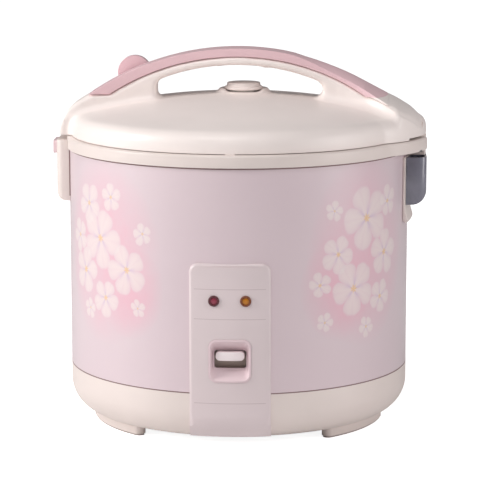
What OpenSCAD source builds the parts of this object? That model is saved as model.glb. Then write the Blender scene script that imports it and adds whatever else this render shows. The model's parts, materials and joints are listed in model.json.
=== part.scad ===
// Conventional rice cooker with a hinged, latched lid and a carrying handle.
// Millimetres. Z is up, the origin is on the body axis at the floor, the
// control panel faces -Y, the lid hinge is at +X and the lid latch at -X.

/* [Body] */
// Outer radius of the printed shell
body_r = 137; // [125:1:150]
// Thickness of the sheet steel shell
shell_t = 0.8; // [0.5:0.1:1.2]
// Height of the base moulding, from the floor to the shell
base_h = 45.4; // [42:0.2:55]
// Height of the shell between the base and the rim
shell_h = 175.1; // [165:0.1:200]
// Height of the rim ring
rim_h = 9.7; // [9:0.1:14]
// How far the rim ring stands proud of the shell
rim_over = 2; // [1:0.1:3]
// Wall of the plastic mouldings
wall = 2.6; // [2:0.1:3]
// Gap between the rim ring and the closed lid
lid_gap = 0.6; // [0.4:0.1:1.2]
// Radius of the rim bulge that carries the hinge
bulge_r = 85; // [80:1:90]
// How far the hinge bulge of the rim reaches past the shell
bulge_over = 16.3; // [14:0.1:18]

/* [Base] */
// Height of the base floor above the table
foot_clear = 7; // [6:0.5:9]
// Radius between the base wall and its floor
base_fillet = 24; // [18:1:28]
// How far the service opening in the base floor stands in from the shell
opening_in = 49; // [45:1:55]
// How far the feet stand in from the shell
foot_in = 18; // [15:1:22]
// Radial width of the feet
foot_w = 10; // [8:0.5:14]
// Angle from the front to the near end of a foot
foot_from = 41; // [35:1:46]
// Angle from the front to the far end of a foot
foot_to = 79; // [65:1:82]
// Thickness of the rubber pads
pad_t = 1.5; // [1:0.1:3]
// Thickness of the bottom plate
plate_t = 0.8; // [0.6:0.1:1.2]

/* [Pot and heater] */
// Gap between the liner can and the inner pot
pot_clear = 2.4; // [2:0.1:4]
// Thickness of the inner pot
pot_t = 2; // [1.5:0.1:3]
// Outside height of the inner pot
pot_h = 140.2; // [120:0.2:145]
// Width of the pot lip
lip_w = 9; // [7:0.5:10]
// Room between the shell and the liner can
jacket_w = 26.6; // [25:0.1:30]
// How far the heater plate stands in from the pot wall
heater_in = 26; // [20:1:34]
// Thickness of the heater plate
heater_t = 10; // [8:0.5:14]
// Height of the heater legs
heater_leg = 14; // [12:0.5:20]

/* [Thermostat and lever] */
// Outer radius of the sensor cup
sensor_r = 17; // [15:0.5:18]
// Plunge of the sensor cup
sensor_travel = 2; // [1:0.5:3]
// Rise of the magnet when the lever is pressed
magnet_lift = 5.68; // [4:0.01:6]
// Radius of the magnet
magnet_r = 11; // [9:0.5:13]
// Distance of the lever pivot from the body axis
lever_pivot = 75; // [70:1:82]
// Width of the lever
lever_w = 8; // [6:0.5:10]
// Thickness of the lever strip
lever_t = 4; // [3:0.5:5]
// Running clearance of pins and rods, on the radius
run = 0.06; // [0.03:0.01:0.1]

/* [Panel] */
// Width of the control panel
panel_w = 62.6; // [56:0.2:70]
// Height of the top of the panel above the floor
panel_top = 147.4; // [140:0.2:160]
// Height of the panel's lower end over the base floor
panel_end = 3.2; // [0.4:0.1:6]
// Radius of the panel's upper corners
panel_corner = 6.9; // [5:0.1:9]
// How far the panel stands proud of the shell
panel_proud = 3.4; // [2:0.1:5]
// Width of the switch window
window_w = 32.9; // [28:0.1:36]
// Height of the switch window
window_h = 33.6; // [30:0.1:36]
// Height of the middle of the switch window above the floor
window_z = 72.1; // [70:0.1:76]
// Depth of the switch window
window_d = 8.4; // [6:0.2:10]
// Corner radius of the window
window_corner = 6.2; // [4:0.1:8]
// Width of the slot in the window
slot_w = 24.6; // [20:0.1:26]
// Height of the slot in the window
slot_h = 14; // [12:0.1:15]
// Height of the lever knob
knob_h = 6.8; // [6:0.1:8]
// Distance of each lamp from the middle
lamp_x = 12.2; // [10:0.1:15]
// Height of the lamps above the floor
lamp_z = 118.9; // [112:0.1:125]
// Radius of the lamp lenses
lamp_r = 3.6; // [3:0.1:5]

/* [Lid] */
// How far the lid wall stands in from the shell
lid_step = 2; // [1:0.1:4]
// Rise of the lid dome over the lid edge
dome_rise = 31.8; // [28:0.2:36]
// Height of the upright part of the lid wall
lid_wall_h = 6.2; // [5:0.2:10]
// Radius of the lid shoulder
shoulder_r = 11; // [8:0.5:14]
// How far the hinge bulge of the lid stands in from the rim bulge
lid_inset = 1.8; // [1:0.1:3]
// How far the latch end of the lid reaches past the shell
leg_over = 7.7; // [6:0.1:9]
// Half width of the lid at the latch
leg_w = 24; // [20:0.5:30]

/* [Handle] */
// Rise of the handle crown over the lid edge
handle_rise = 68.9; // [66:0.1:76]
// Radius of the handle crown
crown_r = 210; // [200:1:225]
// Distance of the crown from the body axis
crown_x = -0.5; // [-3:0.1:3]
// Slope of the handle on the latch side
slope_l = 32; // [30:0.5:34]
// Slope of the handle on the hinge side
slope_r = 29; // [27:0.5:31]
// Radius of the handle shoulders
end_r = 30; // [26:0.5:34]
// Half width of the handle at the crown
grip_w = 13; // [11:0.5:18]
// Thickness of the handle cover at the crown
cover_t = 6.5; // [5:0.1:8]
// Radius of the underside of the handle cover
cover_r = 190; // [185:1:200]
// Thickness of the handle core under the cover
core_t = 7; // [6:0.1:9]
// Radius of the top of the finger opening
finger_arc_r = 172; // [165:1:185]
// Radius of the flare from the grip to the hinge bulge
flare_r = 79; // [74:1:90]
// Height over the lid edge of the feet of the handle
core_rise = 20; // [18:0.5:24]
// Distance from the crown to the start of the flares
flare_x = 60; // [50:1:64]
// Height of the ends of the cover over the lid edge
cover_z = 32; // [30:0.2:34]
// Latch side end of the finger opening
finger_l = 66; // [60:1:70]
// Hinge side end of the finger opening
finger_r = 68; // [60:1:72]

/* [Hinge and latch] */
// Distance of the hinge pin from the shell
hinge_over = 9.5; // [9:0.1:10]
// Depth of the hinge pin below the lid edge
hinge_drop = 10.8; // [10.4:0.1:11]
// Radius of the hinge pin
hinge_pin_r = 1.5; // [1.2:0.1:2]
// Radius of the hinge knuckle
knuckle_r = 3.6; // [3.2:0.1:3.8]
// Half length of the hinge knuckle
knuckle_w = 15; // [13:0.5:17]
// How far the latch housing reaches past the shell
housing_over = 8.5; // [7.5:0.1:10]
// Half width of the latch housing
housing_w = 27; // [24:0.5:32]
// Height of the latch housing
housing_h = 49; // [44:0.5:60]
// Height of the release button
button_h = 10.6; // [9:0.1:11]
// Half width of the release button
button_w = 12; // [9:0.5:14]
// How far the release button stands proud
button_proud = 4.2; // [4:0.1:5]
// Travel of the release button
button_travel = 3.5; // [3:0.1:3.6]
// Distance between the latch pin and the line of the button
latch_arm = 34; // [30:0.5:36]
// Radius of the lock knob behind the handle
lock_r = 13.6; // [12:0.1:15]
// Thickness of the lock knob
lock_t = 9; // [7:0.5:11]

/* [Steam vent and dew collector] */
// Foot radius of the steam vent dish
dish_r = 22.5; // [20:0.5:25]
// Height of the steam vent dish over the dome
dish_h = 5; // [4:0.2:6]
// Radius of the steam cap
cap_r = 15.4; // [13:0.1:16]
// Height of the steam cap
cap_h = 5.6; // [5:0.1:6.5]
// Middle of the vent along the handle
vent_x = 3.4; // [0:0.2:6]
// Middle of the vent behind the handle line
vent_y = 12; // [8:0.5:14]
// Height of the dew collector
dew_h = 38; // [32:0.5:42]
// Half width of the dew collector
dew_w = 34; // [30:0.5:40]
// How far the dew collector reaches past the shell
dew_over = 14.4; // [13:0.1:16]
// Wall of the dew collector
dew_wall = 1.6; // [1.2:0.1:2]

/* [Hidden] */
$fn = 96;

// Clearances
over = 1; // how far a cutter runs past what it cuts
fit = 0.15; // between moulded pieces that seat in each other
gap = 0.3; // between pieces that move past each other
shy = 0.05; // keeps two faces of one piece from lying on each other

// Reaches from the body axis, and heights of the main seams
bulge_reach = body_r + bulge_over;
leg_reach = body_r + leg_over;
hinge_x = body_r + hinge_over;
housing_reach = body_r + housing_over;
dew_reach = body_r + dew_over;
lid_r = body_r - lid_step;
foot_r = body_r - foot_in;
opening_r = body_r - opening_in;
rim_z = base_h + shell_h;
rim_top = rim_z + rim_h;
lid_z = rim_top + lid_gap;

// Rim and lid in plan: a circle with a second one bulging out at the hinge
bulge_x = bulge_reach - bulge_r;
lid_bulge_r = bulge_r - lid_inset;
nose_reach = bulge_x + lid_bulge_r;

// Pot and what carries it
liner_r = body_r - jacket_w;
pot_r = liner_r - pot_clear;
heater_r = pot_r - heater_in;
pot_lip_r = pot_r + lip_w;
ledge_drop = 6; // pot ledge below the top of the rim
ledge_t = 3.1;
ledge_z = rim_top - ledge_drop;
liner_t = 0.8;
liner_top = ledge_z - ledge_t;
pot_bottom = ledge_z + pot_t - pot_h;
heater_top = pot_bottom;
liner_bottom = heater_top - heater_t - heater_leg;

// Thermostat
sensor_hole_r = sensor_r + 2;
cup_t = 1;
cup_h = 20;
ferrite_t = 3.5;
magnet_t = 5;
rod_r = 2.5;
cup_bottom = heater_top - cup_h;
cage_r = sensor_hole_r + 2;
magnet_top = heater_top - cup_t - ferrite_t - magnet_lift - sensor_travel - gap;

// Lever: a strip under the liner that turns up behind the window
lever_drop = 10.4; // top of the strip below the liner
lever_tip = 1.5; // how far the strip runs past the magnet rod
pivot_r = 1.5;
lever_top = liner_bottom - lever_drop;
pivot_z = lever_top - lever_t / 2;
cage_t = 1;
cage_z = lever_top + magnet_lift + 2 * gap + cage_t; // floor of the cage, clear of the lever
lever_angle = magnet_lift / lever_pivot * 180 / PI;
upright_y = body_r - 11; // outer face of the upright
slot_z = window_z - 0.1; // middle of the slot
knob_top = slot_z + slot_h / 2 - gap;
knob_z = knob_top - knob_h;

// Panel
panel_r = body_r + panel_proud;
panel_in_r = body_r + fit;
bezel_r = panel_r + 0.5;
bezel_floor = panel_r - window_d;

// Handle outline in the plane of the handle
crown_z = lid_z + handle_rise - crown_r;
crown = [crown_x, crown_z];
end_xr = nose_reach - end_r;
end_xl = -leg_reach + end_r;
end_zr = end_height(end_xr, [sin(slope_r), cos(slope_r)]);
end_zl = end_height(end_xl, [-sin(slope_l), cos(slope_l)]);
cover_end = lid_z + cover_z;
core_z = lid_z + core_rise;
cover_in = [crown_x, lid_z + handle_rise - cover_t - cover_r];
finger_arc = [crown_x, lid_z + handle_rise - cover_t - core_t - finger_arc_r];

// Height of a handle shoulder that touches a flank with outward normal n
function end_height(x, n) = ((crown + crown_r * n) * n - end_r - x * n[0]) / n[1];

// Half width of the handle at a distance x from the body axis
function half_width(x) =
    x > flare_x ? grip_w + flare_r - sqrt(pow(flare_r, 2) - pow(x - flare_x, 2)) :
    x < -flare_x ? grip_w + (leg_w - grip_w) * pow((x + flare_x) / (leg_reach - flare_x), 2) :
    grip_w;

// Height of the dome over the lid edge at a radius
dome_h = dome_rise - lid_wall_h;
shoulder_x = lid_r - shoulder_r;
dome_r = (pow(shoulder_x, 2) + pow(dome_h, 2) - pow(shoulder_r, 2)) / (2 * (dome_h - shoulder_r));
dome_z = lid_z + dome_rise - dome_r;
function dome_height(r) = dome_z + sqrt(pow(dome_r, 2) - pow(r, 2));

// Lid frame and inner lid
frame_t = 2.2;
frame_z = lid_z + 0.2;
frame_top = frame_z + frame_t;
nose_lift = 1.6; // the lid edge rises this much over the hinge bulge
nose_from = lid_r + 2; // the raised stretch starts here
inner_lid_r = pot_lip_r - 1.4;
inner_lid_t = 1;
gasket_z = ledge_z + pot_t + gap;

// Hinge
hinge_z = lid_z - hinge_drop;
knuckle_in = 6; // the hinge spring sits between the knuckles
ear_w = 6; // width of the ears that hold the hinge pin

// Latch
housing_top = lid_z - 3.8;
housing_z = housing_top - housing_h;
housing_t = 2;
button_top = housing_top - 2;
button_z = button_top - button_h;
latch_y = button_z + button_h / 2; // height of the line of the button
latch_pin_z = latch_y - latch_arm;
latch_x = body_r; // distance of the latch pin from the body axis
hook_t = 4;
hook_w = 6; // half width of the hook
hook_face = latch_x - 0.5; // outer face of the hook arm
hook_nose = 2.5;
catch_in = hook_face + hook_nose + 3 * gap; // the catch passes the nose as the lid swings
catch_z = lid_z + 1.7;
catch_t = 3;
nose_z = catch_z + catch_t + 0.5; // underside of the hook's nose

// Steam vent
vent_r = 9;
vent_z = dome_height(vent_y);
dish_top = vent_z + dish_h;
cap_z = vent_z + 2.4;

// Lock knob behind the handle
lock_in = 58.7; // the disc is on the leg, this far in from its end
lock_x = lock_in - leg_reach;
lock_z = lid_z + 46.7;
lock_pin_r = 2.5;
lock_from = half_width(lock_x - lock_r) + 2 * gap; // clear of the handle's side

// Dew collector
collector_top = hinge_z - knuckle_r - 0.6;
dew_in_r = body_r + 3;
dew_corner = 12;

// Power inlet at the back
inlet_x = 0;
inlet_z = base_h - 10;
inlet_w = 32;
inlet_h = 18;
inlet_depth = 22;

module at_axis(r) { rotate_extrude() translate([r, 0]) children(); }

// A profile in the plane of the handle, drawn as x and z, given a width in Y
module along_y(half) { rotate([90, 0, 0]) linear_extrude(2 * half, center = true) children(); }

// A cylinder along Y between two distances
module pin_y(x, z, r, from, to) {
    translate([x, from, z]) rotate([-90, 0, 0]) cylinder(r = r, h = to - from);
}

// A cylinder along X between two distances
module pin_x(y, z, r, from, to) {
    translate([from, y, z]) rotate([0, 90, 0]) cylinder(r = r, h = to - from);
}

module tube(r_out, r_in, z0, z1) {
    difference() {
        translate([0, 0, z0]) cylinder(r = r_out, h = z1 - z0);
        translate([0, 0, z0 - over]) cylinder(r = r_in, h = z1 - z0 + 2 * over);
    }
}

// A box given by its two corners
module block(low, high) { translate(low) cube(high - low); }

// A rectangle with round corners about the origin
module round_rect(w, h, r) {
    square([w - 2 * r, h], center = true);
    square([w, h - 2 * r], center = true);
    for (x = [-1, 1], y = [-1, 1]) translate([x * (w / 2 - r), y * (h / 2 - r)]) circle(r);
}

// A round-cornered bar along -Y with its middle at x and z
module front_bar(x, z, w, h, r, from, to) {
    translate([x, -from, z]) rotate([90, 0, 0]) linear_extrude(to - from) round_rect(w, h, r);
}

// Part of a turned profile between two angles, with the profile in radius and z
module turned(from, to) { rotate_extrude(angle = to - from, start = from) children(); }

// Round-ended bar bent along a circle about the axis
module bent_bar(r, w, from, to, z0, z1) {
    translate([0, 0, z0]) linear_extrude(z1 - z0) polygon(concat(
        arc([0, 0], r + w / 2, from, to, 24),
        arc(r * [cos(to), sin(to)], w / 2, to + 12, to + 168, 12),
        arc([0, 0], r - w / 2, to, from, 24),
        arc(r * [cos(from), sin(from)], w / 2, from + 192, from + 348, 12)));
}

// Open spring standing on the origin: half rings, each tipped so that it climbs to the next
module coil(r, wire, turns, h) {
    climb = (h - wire) / (2 * turns);
    tip = atan(climb / (2 * r));
    for (i = [0:2 * turns - 1]) translate([0, 0, wire / 2 + climb * (i + 0.5)])
        rotate(180 * (i % 2)) rotate([0, tip, 0]) turned(0, 180)
            translate([r / cos(tip), 0]) circle(d = wire, $fn = 16);
}

// Close-wound spring standing on the origin
module close_coil(r, wire, h) {
    turns = ceil((h - wire) / (wire * 0.9));
    rotate_extrude() for (i = [0:turns])
        translate([r, wire / 2 + (h - wire) * i / turns]) circle(d = wire, $fn = 16);
}

// Pan-head screw pointing up from the origin
module screw(head_r, head_h, shank_r, shank_l) {
    difference() {
        cylinder(r = head_r, h = head_h);
        translate([0, 0, -over]) cylinder(r = head_r * 0.55, h = over + head_h * 0.55, $fn = 6);
    }
    translate([0, 0, head_h]) cylinder(r = shank_r, h = shank_l);
}

// Points along an arc
function arc(c, r, from, to, n) =
    [for (i = [0:n]) let (a = from + (to - from) * i / n) c + r * [cos(a), sin(a)]];

// ---- Base and housing ----

// Outline of the base in radius and z, drawn in by off and carried up to a height
module bowl(off, top) {
    corner = body_r - base_fillet;
    corner_z = foot_clear + base_fillet;
    translate([0, corner_z]) square([body_r - off, top - corner_z]);
    translate([0, foot_clear + off]) square([corner, top - foot_clear - off]);
    translate([corner, corner_z]) intersection() {
        circle(base_fillet - off);
        translate([0, -2 * base_fillet]) square(2 * base_fillet);
    }
}

screw_ring = opening_r + 8; // radius of the ring of base screws
spigot_t = 2.6;
spigot_r = body_r - shell_t - fit;

module base_shell() {
    color("linen") difference() {
        union() {
            rotate_extrude() difference() {
                bowl(0, base_h);
                bowl(wall, base_h + over);
            }
            tube(spigot_r, spigot_r - spigot_t, base_h - 4, base_h + 5);
            for (side = [-90, 90], turn = [-1, 1])
                rotate(side + turn * (foot_from + foot_to) / 2)
                    bent_bar(foot_r - foot_w / 2, foot_w, (foot_from - foot_to) / 2,
                        (foot_to - foot_from) / 2, pad_t, foot_clear + wall - 0.6);
            for (a = [45:90:315]) rotate(a) translate([screw_ring, 0, foot_clear + 1])
                cylinder(r = 4.5, h = 11);
        }
        translate([0, 0, foot_clear - over]) cylinder(r = opening_r, h = wall + 2 * over);
        for (a = [45:90:315]) rotate(a) translate([screw_ring, 0, 0]) cylinder(r = 1.6, h = 30);
        inlet_hole(fit);
    }
}

// The way through the base wall for the power inlet
module inlet_hole(c) {
    translate([inlet_x, body_r - inlet_depth, inlet_z]) rotate([-90, 0, 0])
        linear_extrude(2 * inlet_depth) round_rect(inlet_w + 2 * c, inlet_h + 2 * c, 4);
}

module foot_pads() {
    color("dimgray") for (side = [-90, 90], turn = [-1, 1])
        rotate(side + turn * (foot_from + foot_to) / 2)
            bent_bar(foot_r - foot_w / 2, foot_w - 2, (foot_from - foot_to) / 2,
                (foot_to - foot_from) / 2, 0, pad_t);
}

module bottom_plate() {
    color("silver") difference() {
        translate([0, 0, foot_clear - plate_t]) cylinder(r = opening_r + 14, h = plate_t);
        for (a = [45:90:315]) rotate(a) translate([screw_ring, 0, 0]) cylinder(r = 1.9, h = 20);
        translate([0, 0, foot_clear - 5]) cylinder(r = 5, h = 10);
        for (r = [30, 50, 70], a = [0:30:330]) rotate(a + (r == 50 ? 15 : 0)) {
            translate([r - 7, -1.5, foot_clear - 5]) cube([14, 3, 10]);
            for (x = [-7, 7]) translate([r + x, 0, foot_clear - 5]) cylinder(r = 1.5, h = 10, $fn = 24);
        }
    }
}

module base_screws() {
    head_h = 1.8;
    color("gray") for (a = [45:90:315]) rotate(a)
        translate([screw_ring, 0, foot_clear - plate_t - head_h]) screw(3.4, head_h, 1.5, 10);
}

module outer_shell() {
    color("mistyrose") difference() {
        tube(body_r, body_r - shell_t, base_h, rim_z);
        front_bar(0, window_z, window_w + 1, window_h + 1, 5.8, body_r - 8, body_r + 8);
        for (x = [-lamp_x, lamp_x]) pin_y(x, lamp_z, lamp_r + gap, -body_r - 8, -body_r + 8);
        block([-body_r - over, 5 - housing_w, latch_pin_z - 7],
            [-body_r + 6, housing_w - 5, rim_z + over]);
    }
}

module rim_ring() {
    r = body_r + rim_over;
    edge = 2;
    slope_in = pot_lip_r + 4;
    slope_out = slope_in + 4;
    color("linen") difference() {
        union() {
            rotate_extrude() polygon(concat(
                [[r, rim_z]], arc([r - edge, rim_top - edge], edge, 0, 90, 6),
                [[slope_out, rim_top], [slope_in, ledge_z], [liner_r + 0.1, ledge_z],
                 [liner_r + 0.1, liner_top], [slope_in + 1, liner_top],
                 [slope_out + 1.4, rim_top - wall], [spigot_r - spigot_t, rim_top - wall],
                 [spigot_r - spigot_t, rim_z - 6.5], [spigot_r, rim_z - 6.5], [spigot_r, rim_z]]));
            difference() {
                union() {
                    translate([bulge_x, 0, 0]) rotate_extrude() polygon(concat(
                        [[0, rim_z], [bulge_r, rim_z]],
                        arc([bulge_r - edge, rim_top - edge], edge, 0, 90, 6), [[0, rim_top]]));
                    intersection() {
                        for (s = [-1, 1]) translate([0, s * (knuckle_w + gap + ear_w / 2), 0])
                            block([body_r, -ear_w / 2, collector_top + 0.4],
                                [bulge_reach, ear_w / 2, rim_z + over]);
                        translate([bulge_x, 0, 0]) cylinder(r = bulge_r - 1, h = rim_top);
                    }
                }
                translate([0, 0, rim_z]) cylinder(r = body_r - 1, h = 2 * rim_h);
                cylinder(r = panel_in_r, h = rim_z);
            }
        }
        block([hinge_x - knuckle_r - 1.2, -knuckle_w - gap, 0],
            [bulge_reach + over, knuckle_w + gap, rim_top + over]);
        pin_y(hinge_x, hinge_z, hinge_pin_r, -40, 40);
        hook_way();
    }
}

// What the latch needs cut away from the rim ring
module hook_way() {
    block([-hook_face - 0.6, -hook_w - 0.8, rim_z - 10],
        [-hook_face + hook_t + 5.6, hook_w + 0.8, rim_top + over]);
    block([-body_r - rim_over - over, -button_w - 3.2, rim_z - over],
        [-body_r - 0.6, button_w + 3.2, button_top + 0.6]);
    block([-body_r - 2 * over, -5, rim_z - 10], [-hook_face, 5, latch_y + 3.6]);
}

// ---- Pot, liner and heaters ----

module inner_liner() {
    out = liner_r + liner_t;
    color("gainsboro") difference() {
        rotate_extrude() {
            translate([liner_r, liner_bottom]) square([liner_t, liner_top - liner_bottom]);
            translate([liner_r, liner_top - liner_t]) square([10, liner_t]);
            translate([sensor_hole_r, liner_bottom]) square([out - sensor_hole_r, liner_t]);
        }
        for (s = [-1, 1]) rotate(90 + s * terminal_a)
            translate([terminal_r, 0, liner_bottom - over]) cylinder(r = 5, h = 5);
    }
}

pot_corner = 14;

module pot_outline(off) {
    translate([0, pot_bottom + pot_corner]) square([pot_r - off, pot_h - pot_corner]);
    translate([0, pot_bottom + off]) square([pot_r - pot_corner, pot_h - off]);
    translate([pot_r - pot_corner, pot_bottom + pot_corner]) intersection() {
        circle(pot_corner - off);
        translate([0, -2 * pot_corner]) square(2 * pot_corner);
    }
}

module inner_pot() {
    color("dimgray") rotate_extrude() {
        difference() {
            pot_outline(0);
            pot_outline(pot_t);
            translate([0, pot_bottom + pot_t + pot_corner]) square([pot_r - pot_t, pot_h]);
        }
        translate([pot_r - pot_t, ledge_z]) square([pot_t + lip_w, pot_t]);
    }
}

tube_r = heater_r - 22; // radius of the heating tube cast into the plate
terminal_r = tube_r;
terminal_a = 14;

module heater_plate() {
    leg_r = heater_r - 10;
    color("darkgray") difference() {
        union() {
            translate([0, 0, heater_top - heater_t]) cylinder(r = heater_r, h = heater_t);
            translate([0, 0, heater_top - heater_t]) at_axis(tube_r) circle(5, $fn = 48);
            for (a = [30, 150, 270]) rotate(a) translate([leg_r, 0, liner_bottom + liner_t])
                cylinder(r = 5, h = heater_leg - liner_t + over);
        }
        cylinder(r = sensor_hole_r, h = 2 * heater_top);
        for (s = [-1, 1]) rotate(90 + s * terminal_a) translate([terminal_r, 0, 0])
            cylinder(r = 2.2, h = heater_top - heater_t - 1);
    }
}

module heater_terminals() {
    color("goldenrod") for (s = [-1, 1]) rotate(90 + s * terminal_a)
        translate([terminal_r, 0, liner_bottom - 9]) {
            cylinder(r = 2.2, h = heater_top - heater_t - 1 - liner_bottom + 9);
            translate([0, 0, 7]) cylinder(r = 4, h = 6);
        }
}

module side_heater() {
    band_t = 1.6;
    band_h = 36;
    band_z = pot_bottom + pot_h / 2 - 6;
    color("sienna") turned(96, 444) translate([liner_r + liner_t, band_z]) square([band_t, band_h]);
}

// ---- Thermostat, lever and switch ----

module sensor_bracket() {
    color("silver") difference() {
        union() {
            translate([0, 0, cage_z - cage_t]) cylinder(r = cage_r, h = liner_bottom - cage_z + cage_t);
            translate([0, 0, liner_bottom - 1]) cylinder(r = cage_r + 5, h = 1);
        }
        translate([0, 0, cage_z]) cylinder(r = sensor_hole_r, h = 20);
        translate([0, 0, cage_z - 5]) cylinder(r = rod_r + run, h = 20);
    }
}

module sensor_spring() {
    color("silver") translate([0, 0, cage_z]) coil(sensor_r - 0.5, 1.2, 4, cup_bottom - cage_z);
}

module sensor_cup() {
    top = heater_top - 0.1;
    color("silver") difference() {
        union() {
            translate([0, 0, cup_bottom]) cylinder(r = sensor_r, h = top - cup_bottom);
            translate([0, 0, cup_bottom]) cylinder(r = sensor_r + 1.3, h = 1);
        }
        translate([0, 0, cup_bottom - over])
            cylinder(r = sensor_r - cup_t, h = top - cup_bottom + over - cup_t);
    }
}

module sensor_ferrite() {
    color("dimgray") translate([0, 0, heater_top - 0.1 - cup_t - ferrite_t])
        cylinder(r = magnet_r + 1, h = ferrite_t);
}

module magnet_rod() {
    top = magnet_top - 0.1;
    color("slategray") {
        translate([0, 0, top - magnet_t]) cylinder(r = magnet_r, h = magnet_t);
        translate([0, 0, lever_top + gap]) cylinder(r = rod_r, h = top - 1 - lever_top - gap);
    }
}

cheek_in = lever_w / 2 + 0.6;
cheek_t = 1.5;
bracket_t = 1.5;
bracket_w = 14;
bracket_out = 18;
bracket_in = 27;

module lever_bracket() {
    color("lightsteelblue") difference() {
        union() {
            block([-bracket_w, -lever_pivot - bracket_out, liner_bottom - bracket_t],
                [bracket_w, -lever_pivot + bracket_in, liner_bottom]);
            for (s = [0, 1]) mirror([s, 0, 0]) block(
                [cheek_in, -lever_pivot - 6, pivot_z - 4.5],
                [cheek_in + cheek_t, -lever_pivot + 6, liner_bottom - bracket_t]);
        }
        pin_x(-lever_pivot, pivot_z, pivot_r, -20, 20);
    }
}

module lever_pin() {
    color("silver") pin_x(-lever_pivot, pivot_z, pivot_r, -cheek_in - cheek_t - 1, cheek_in + cheek_t + 1);
}

module cook_lever() {
    w = lever_w / 2;
    color("silver") difference() {
        union() {
            block([-w, -upright_y, lever_top - lever_t], [w, lever_tip, lever_top]);
            block([-w, -upright_y, lever_top - lever_t], [w, -upright_y + lever_t, knob_top - 1]);
            pin_x(-lever_pivot, pivot_z, 4, -w, w);
        }
        pin_x(-lever_pivot, pivot_z, pivot_r + run, -20, 20);
    }
}

module lever_knob() {
    w = slot_w - 2.5;
    front = panel_r - 1.8;
    color("seashell") intersection() {
        front_bar(0, (knob_z + knob_top) / 2, w, knob_h, 3, upright_y, front);
        translate([0, -front + 40, (knob_z + knob_top) / 2]) sphere(r = 40);
    }
}

module micro_switch() {
    w = 3.2;
    y = -lever_pivot + 17;
    color("black") {
        block([-w, y - 8, lever_top + 2.5], [w, y + 8, liner_bottom - bracket_t]);
        translate([0, y, lever_top + 1.6]) cylinder(r = 1.2, h = 2);
    }
}

// ---- Control panel ----

module control_panel() {
    color("snow") difference() {
        intersection() {
            rotate_extrude() difference() {
                bowl(-panel_proud, panel_top);
                bowl(-fit, panel_top + over);
                square([2 * body_r, foot_clear + panel_end]);
            }
            front_bar(0, 0, panel_w, 2 * panel_top, panel_corner, 60, panel_r + 5);
        }
        front_bar(0, window_z, window_w + 2 * fit, window_h + 2 * fit, window_corner + fit, 60, 200);
        for (x = [-lamp_x, lamp_x]) pin_y(x, lamp_z, lamp_r + fit, -200, -60);
    }
}

module switch_bezel() {
    rim = 1.4;
    color("lightpink") difference() {
        intersection() {
            front_bar(0, window_z, window_w, window_h, window_corner, bezel_floor - 2, bezel_r + 5);
            translate([0, 0, window_z - window_h]) cylinder(r = bezel_r, h = 2 * window_h);
        }
        hull() {
            front_bar(0, window_z, window_w - 2 * rim, window_h - 2 * rim,
                window_corner - rim, bezel_r, bezel_r + 1, $fn = 32);
            front_bar(0, slot_z, slot_w + 2, slot_h + 2, 3, bezel_floor, bezel_floor + 1, $fn = 32);
        }
        front_bar(0, slot_z, slot_w, slot_h, 2, bezel_floor - 10, bezel_floor + 10);
    }
}

lens_back = panel_r - 6.5;

module lamp_lens(x) {
    front = panel_r + 0.5;
    intersection() {
        pin_y(x, lamp_z, lamp_r, -front, -lens_back);
        translate([x, -front + 9, lamp_z]) sphere(r = 9);
    }
}

module cook_lamp_lens() { color("crimson") lamp_lens(-lamp_x); }

module warm_lamp_lens() { color("orange") lamp_lens(lamp_x); }

lamp_tube_r = 2.8;
holder_y = body_r - 17;

module lamp_holder() {
    half_w = lamp_x + 7.8;
    half_h = 7;
    color("whitesmoke") difference() {
        intersection() {
            block([-half_w, -body_r, lamp_z - half_h], [half_w, -holder_y, lamp_z + half_h]);
            cylinder(r = body_r - shell_t, h = 2 * lamp_z);
        }
        for (x = [-lamp_x, lamp_x]) {
            pin_y(x, lamp_z, lamp_tube_r + 0.2, -body_r, -holder_y + over);
            pin_y(x, lamp_z, lamp_r + 0.1, -body_r, -lens_back + 0.4);
        }
    }
}

module neon_lamps() {
    color("gold") for (x = [-lamp_x, lamp_x]) {
        pin_y(x, lamp_z, lamp_tube_r, -lens_back + 1.2 + lamp_tube_r, -holder_y);
        translate([x, -lens_back + 1.2 + lamp_tube_r, lamp_z]) sphere(r = lamp_tube_r);
        for (s = [-1, 1]) pin_y(x + s * 1.2, lamp_z, 0.4, -holder_y - over, -holder_y + 6);
    }
}

// ---- Power inlet ----

module power_inlet() {
    front = body_r + panel_proud;
    color("black") difference() {
        union() {
            translate([inlet_x, front - inlet_depth, inlet_z]) rotate([-90, 0, 0])
                linear_extrude(inlet_depth) round_rect(inlet_w, inlet_h, 4);
        }
        translate([inlet_x, front - inlet_depth + 3, inlet_z]) rotate([-90, 0, 0])
            linear_extrude(inlet_depth) round_rect(inlet_w - 6, inlet_h - 6, 2.5);
        pin_blades();
    }
}

module pin_blades() {
    front = body_r + panel_proud;
    for (x = [-7, 0, 7]) translate([inlet_x + x, 0, inlet_z + (x == 0 ? 1.5 : -1.5)])
        block([-1, front - inlet_depth - 5, -2.5], [1, front - 7, 2.5]);
}

module inlet_pins() { color("silver") pin_blades(); }

// ---- Latch ----

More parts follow.
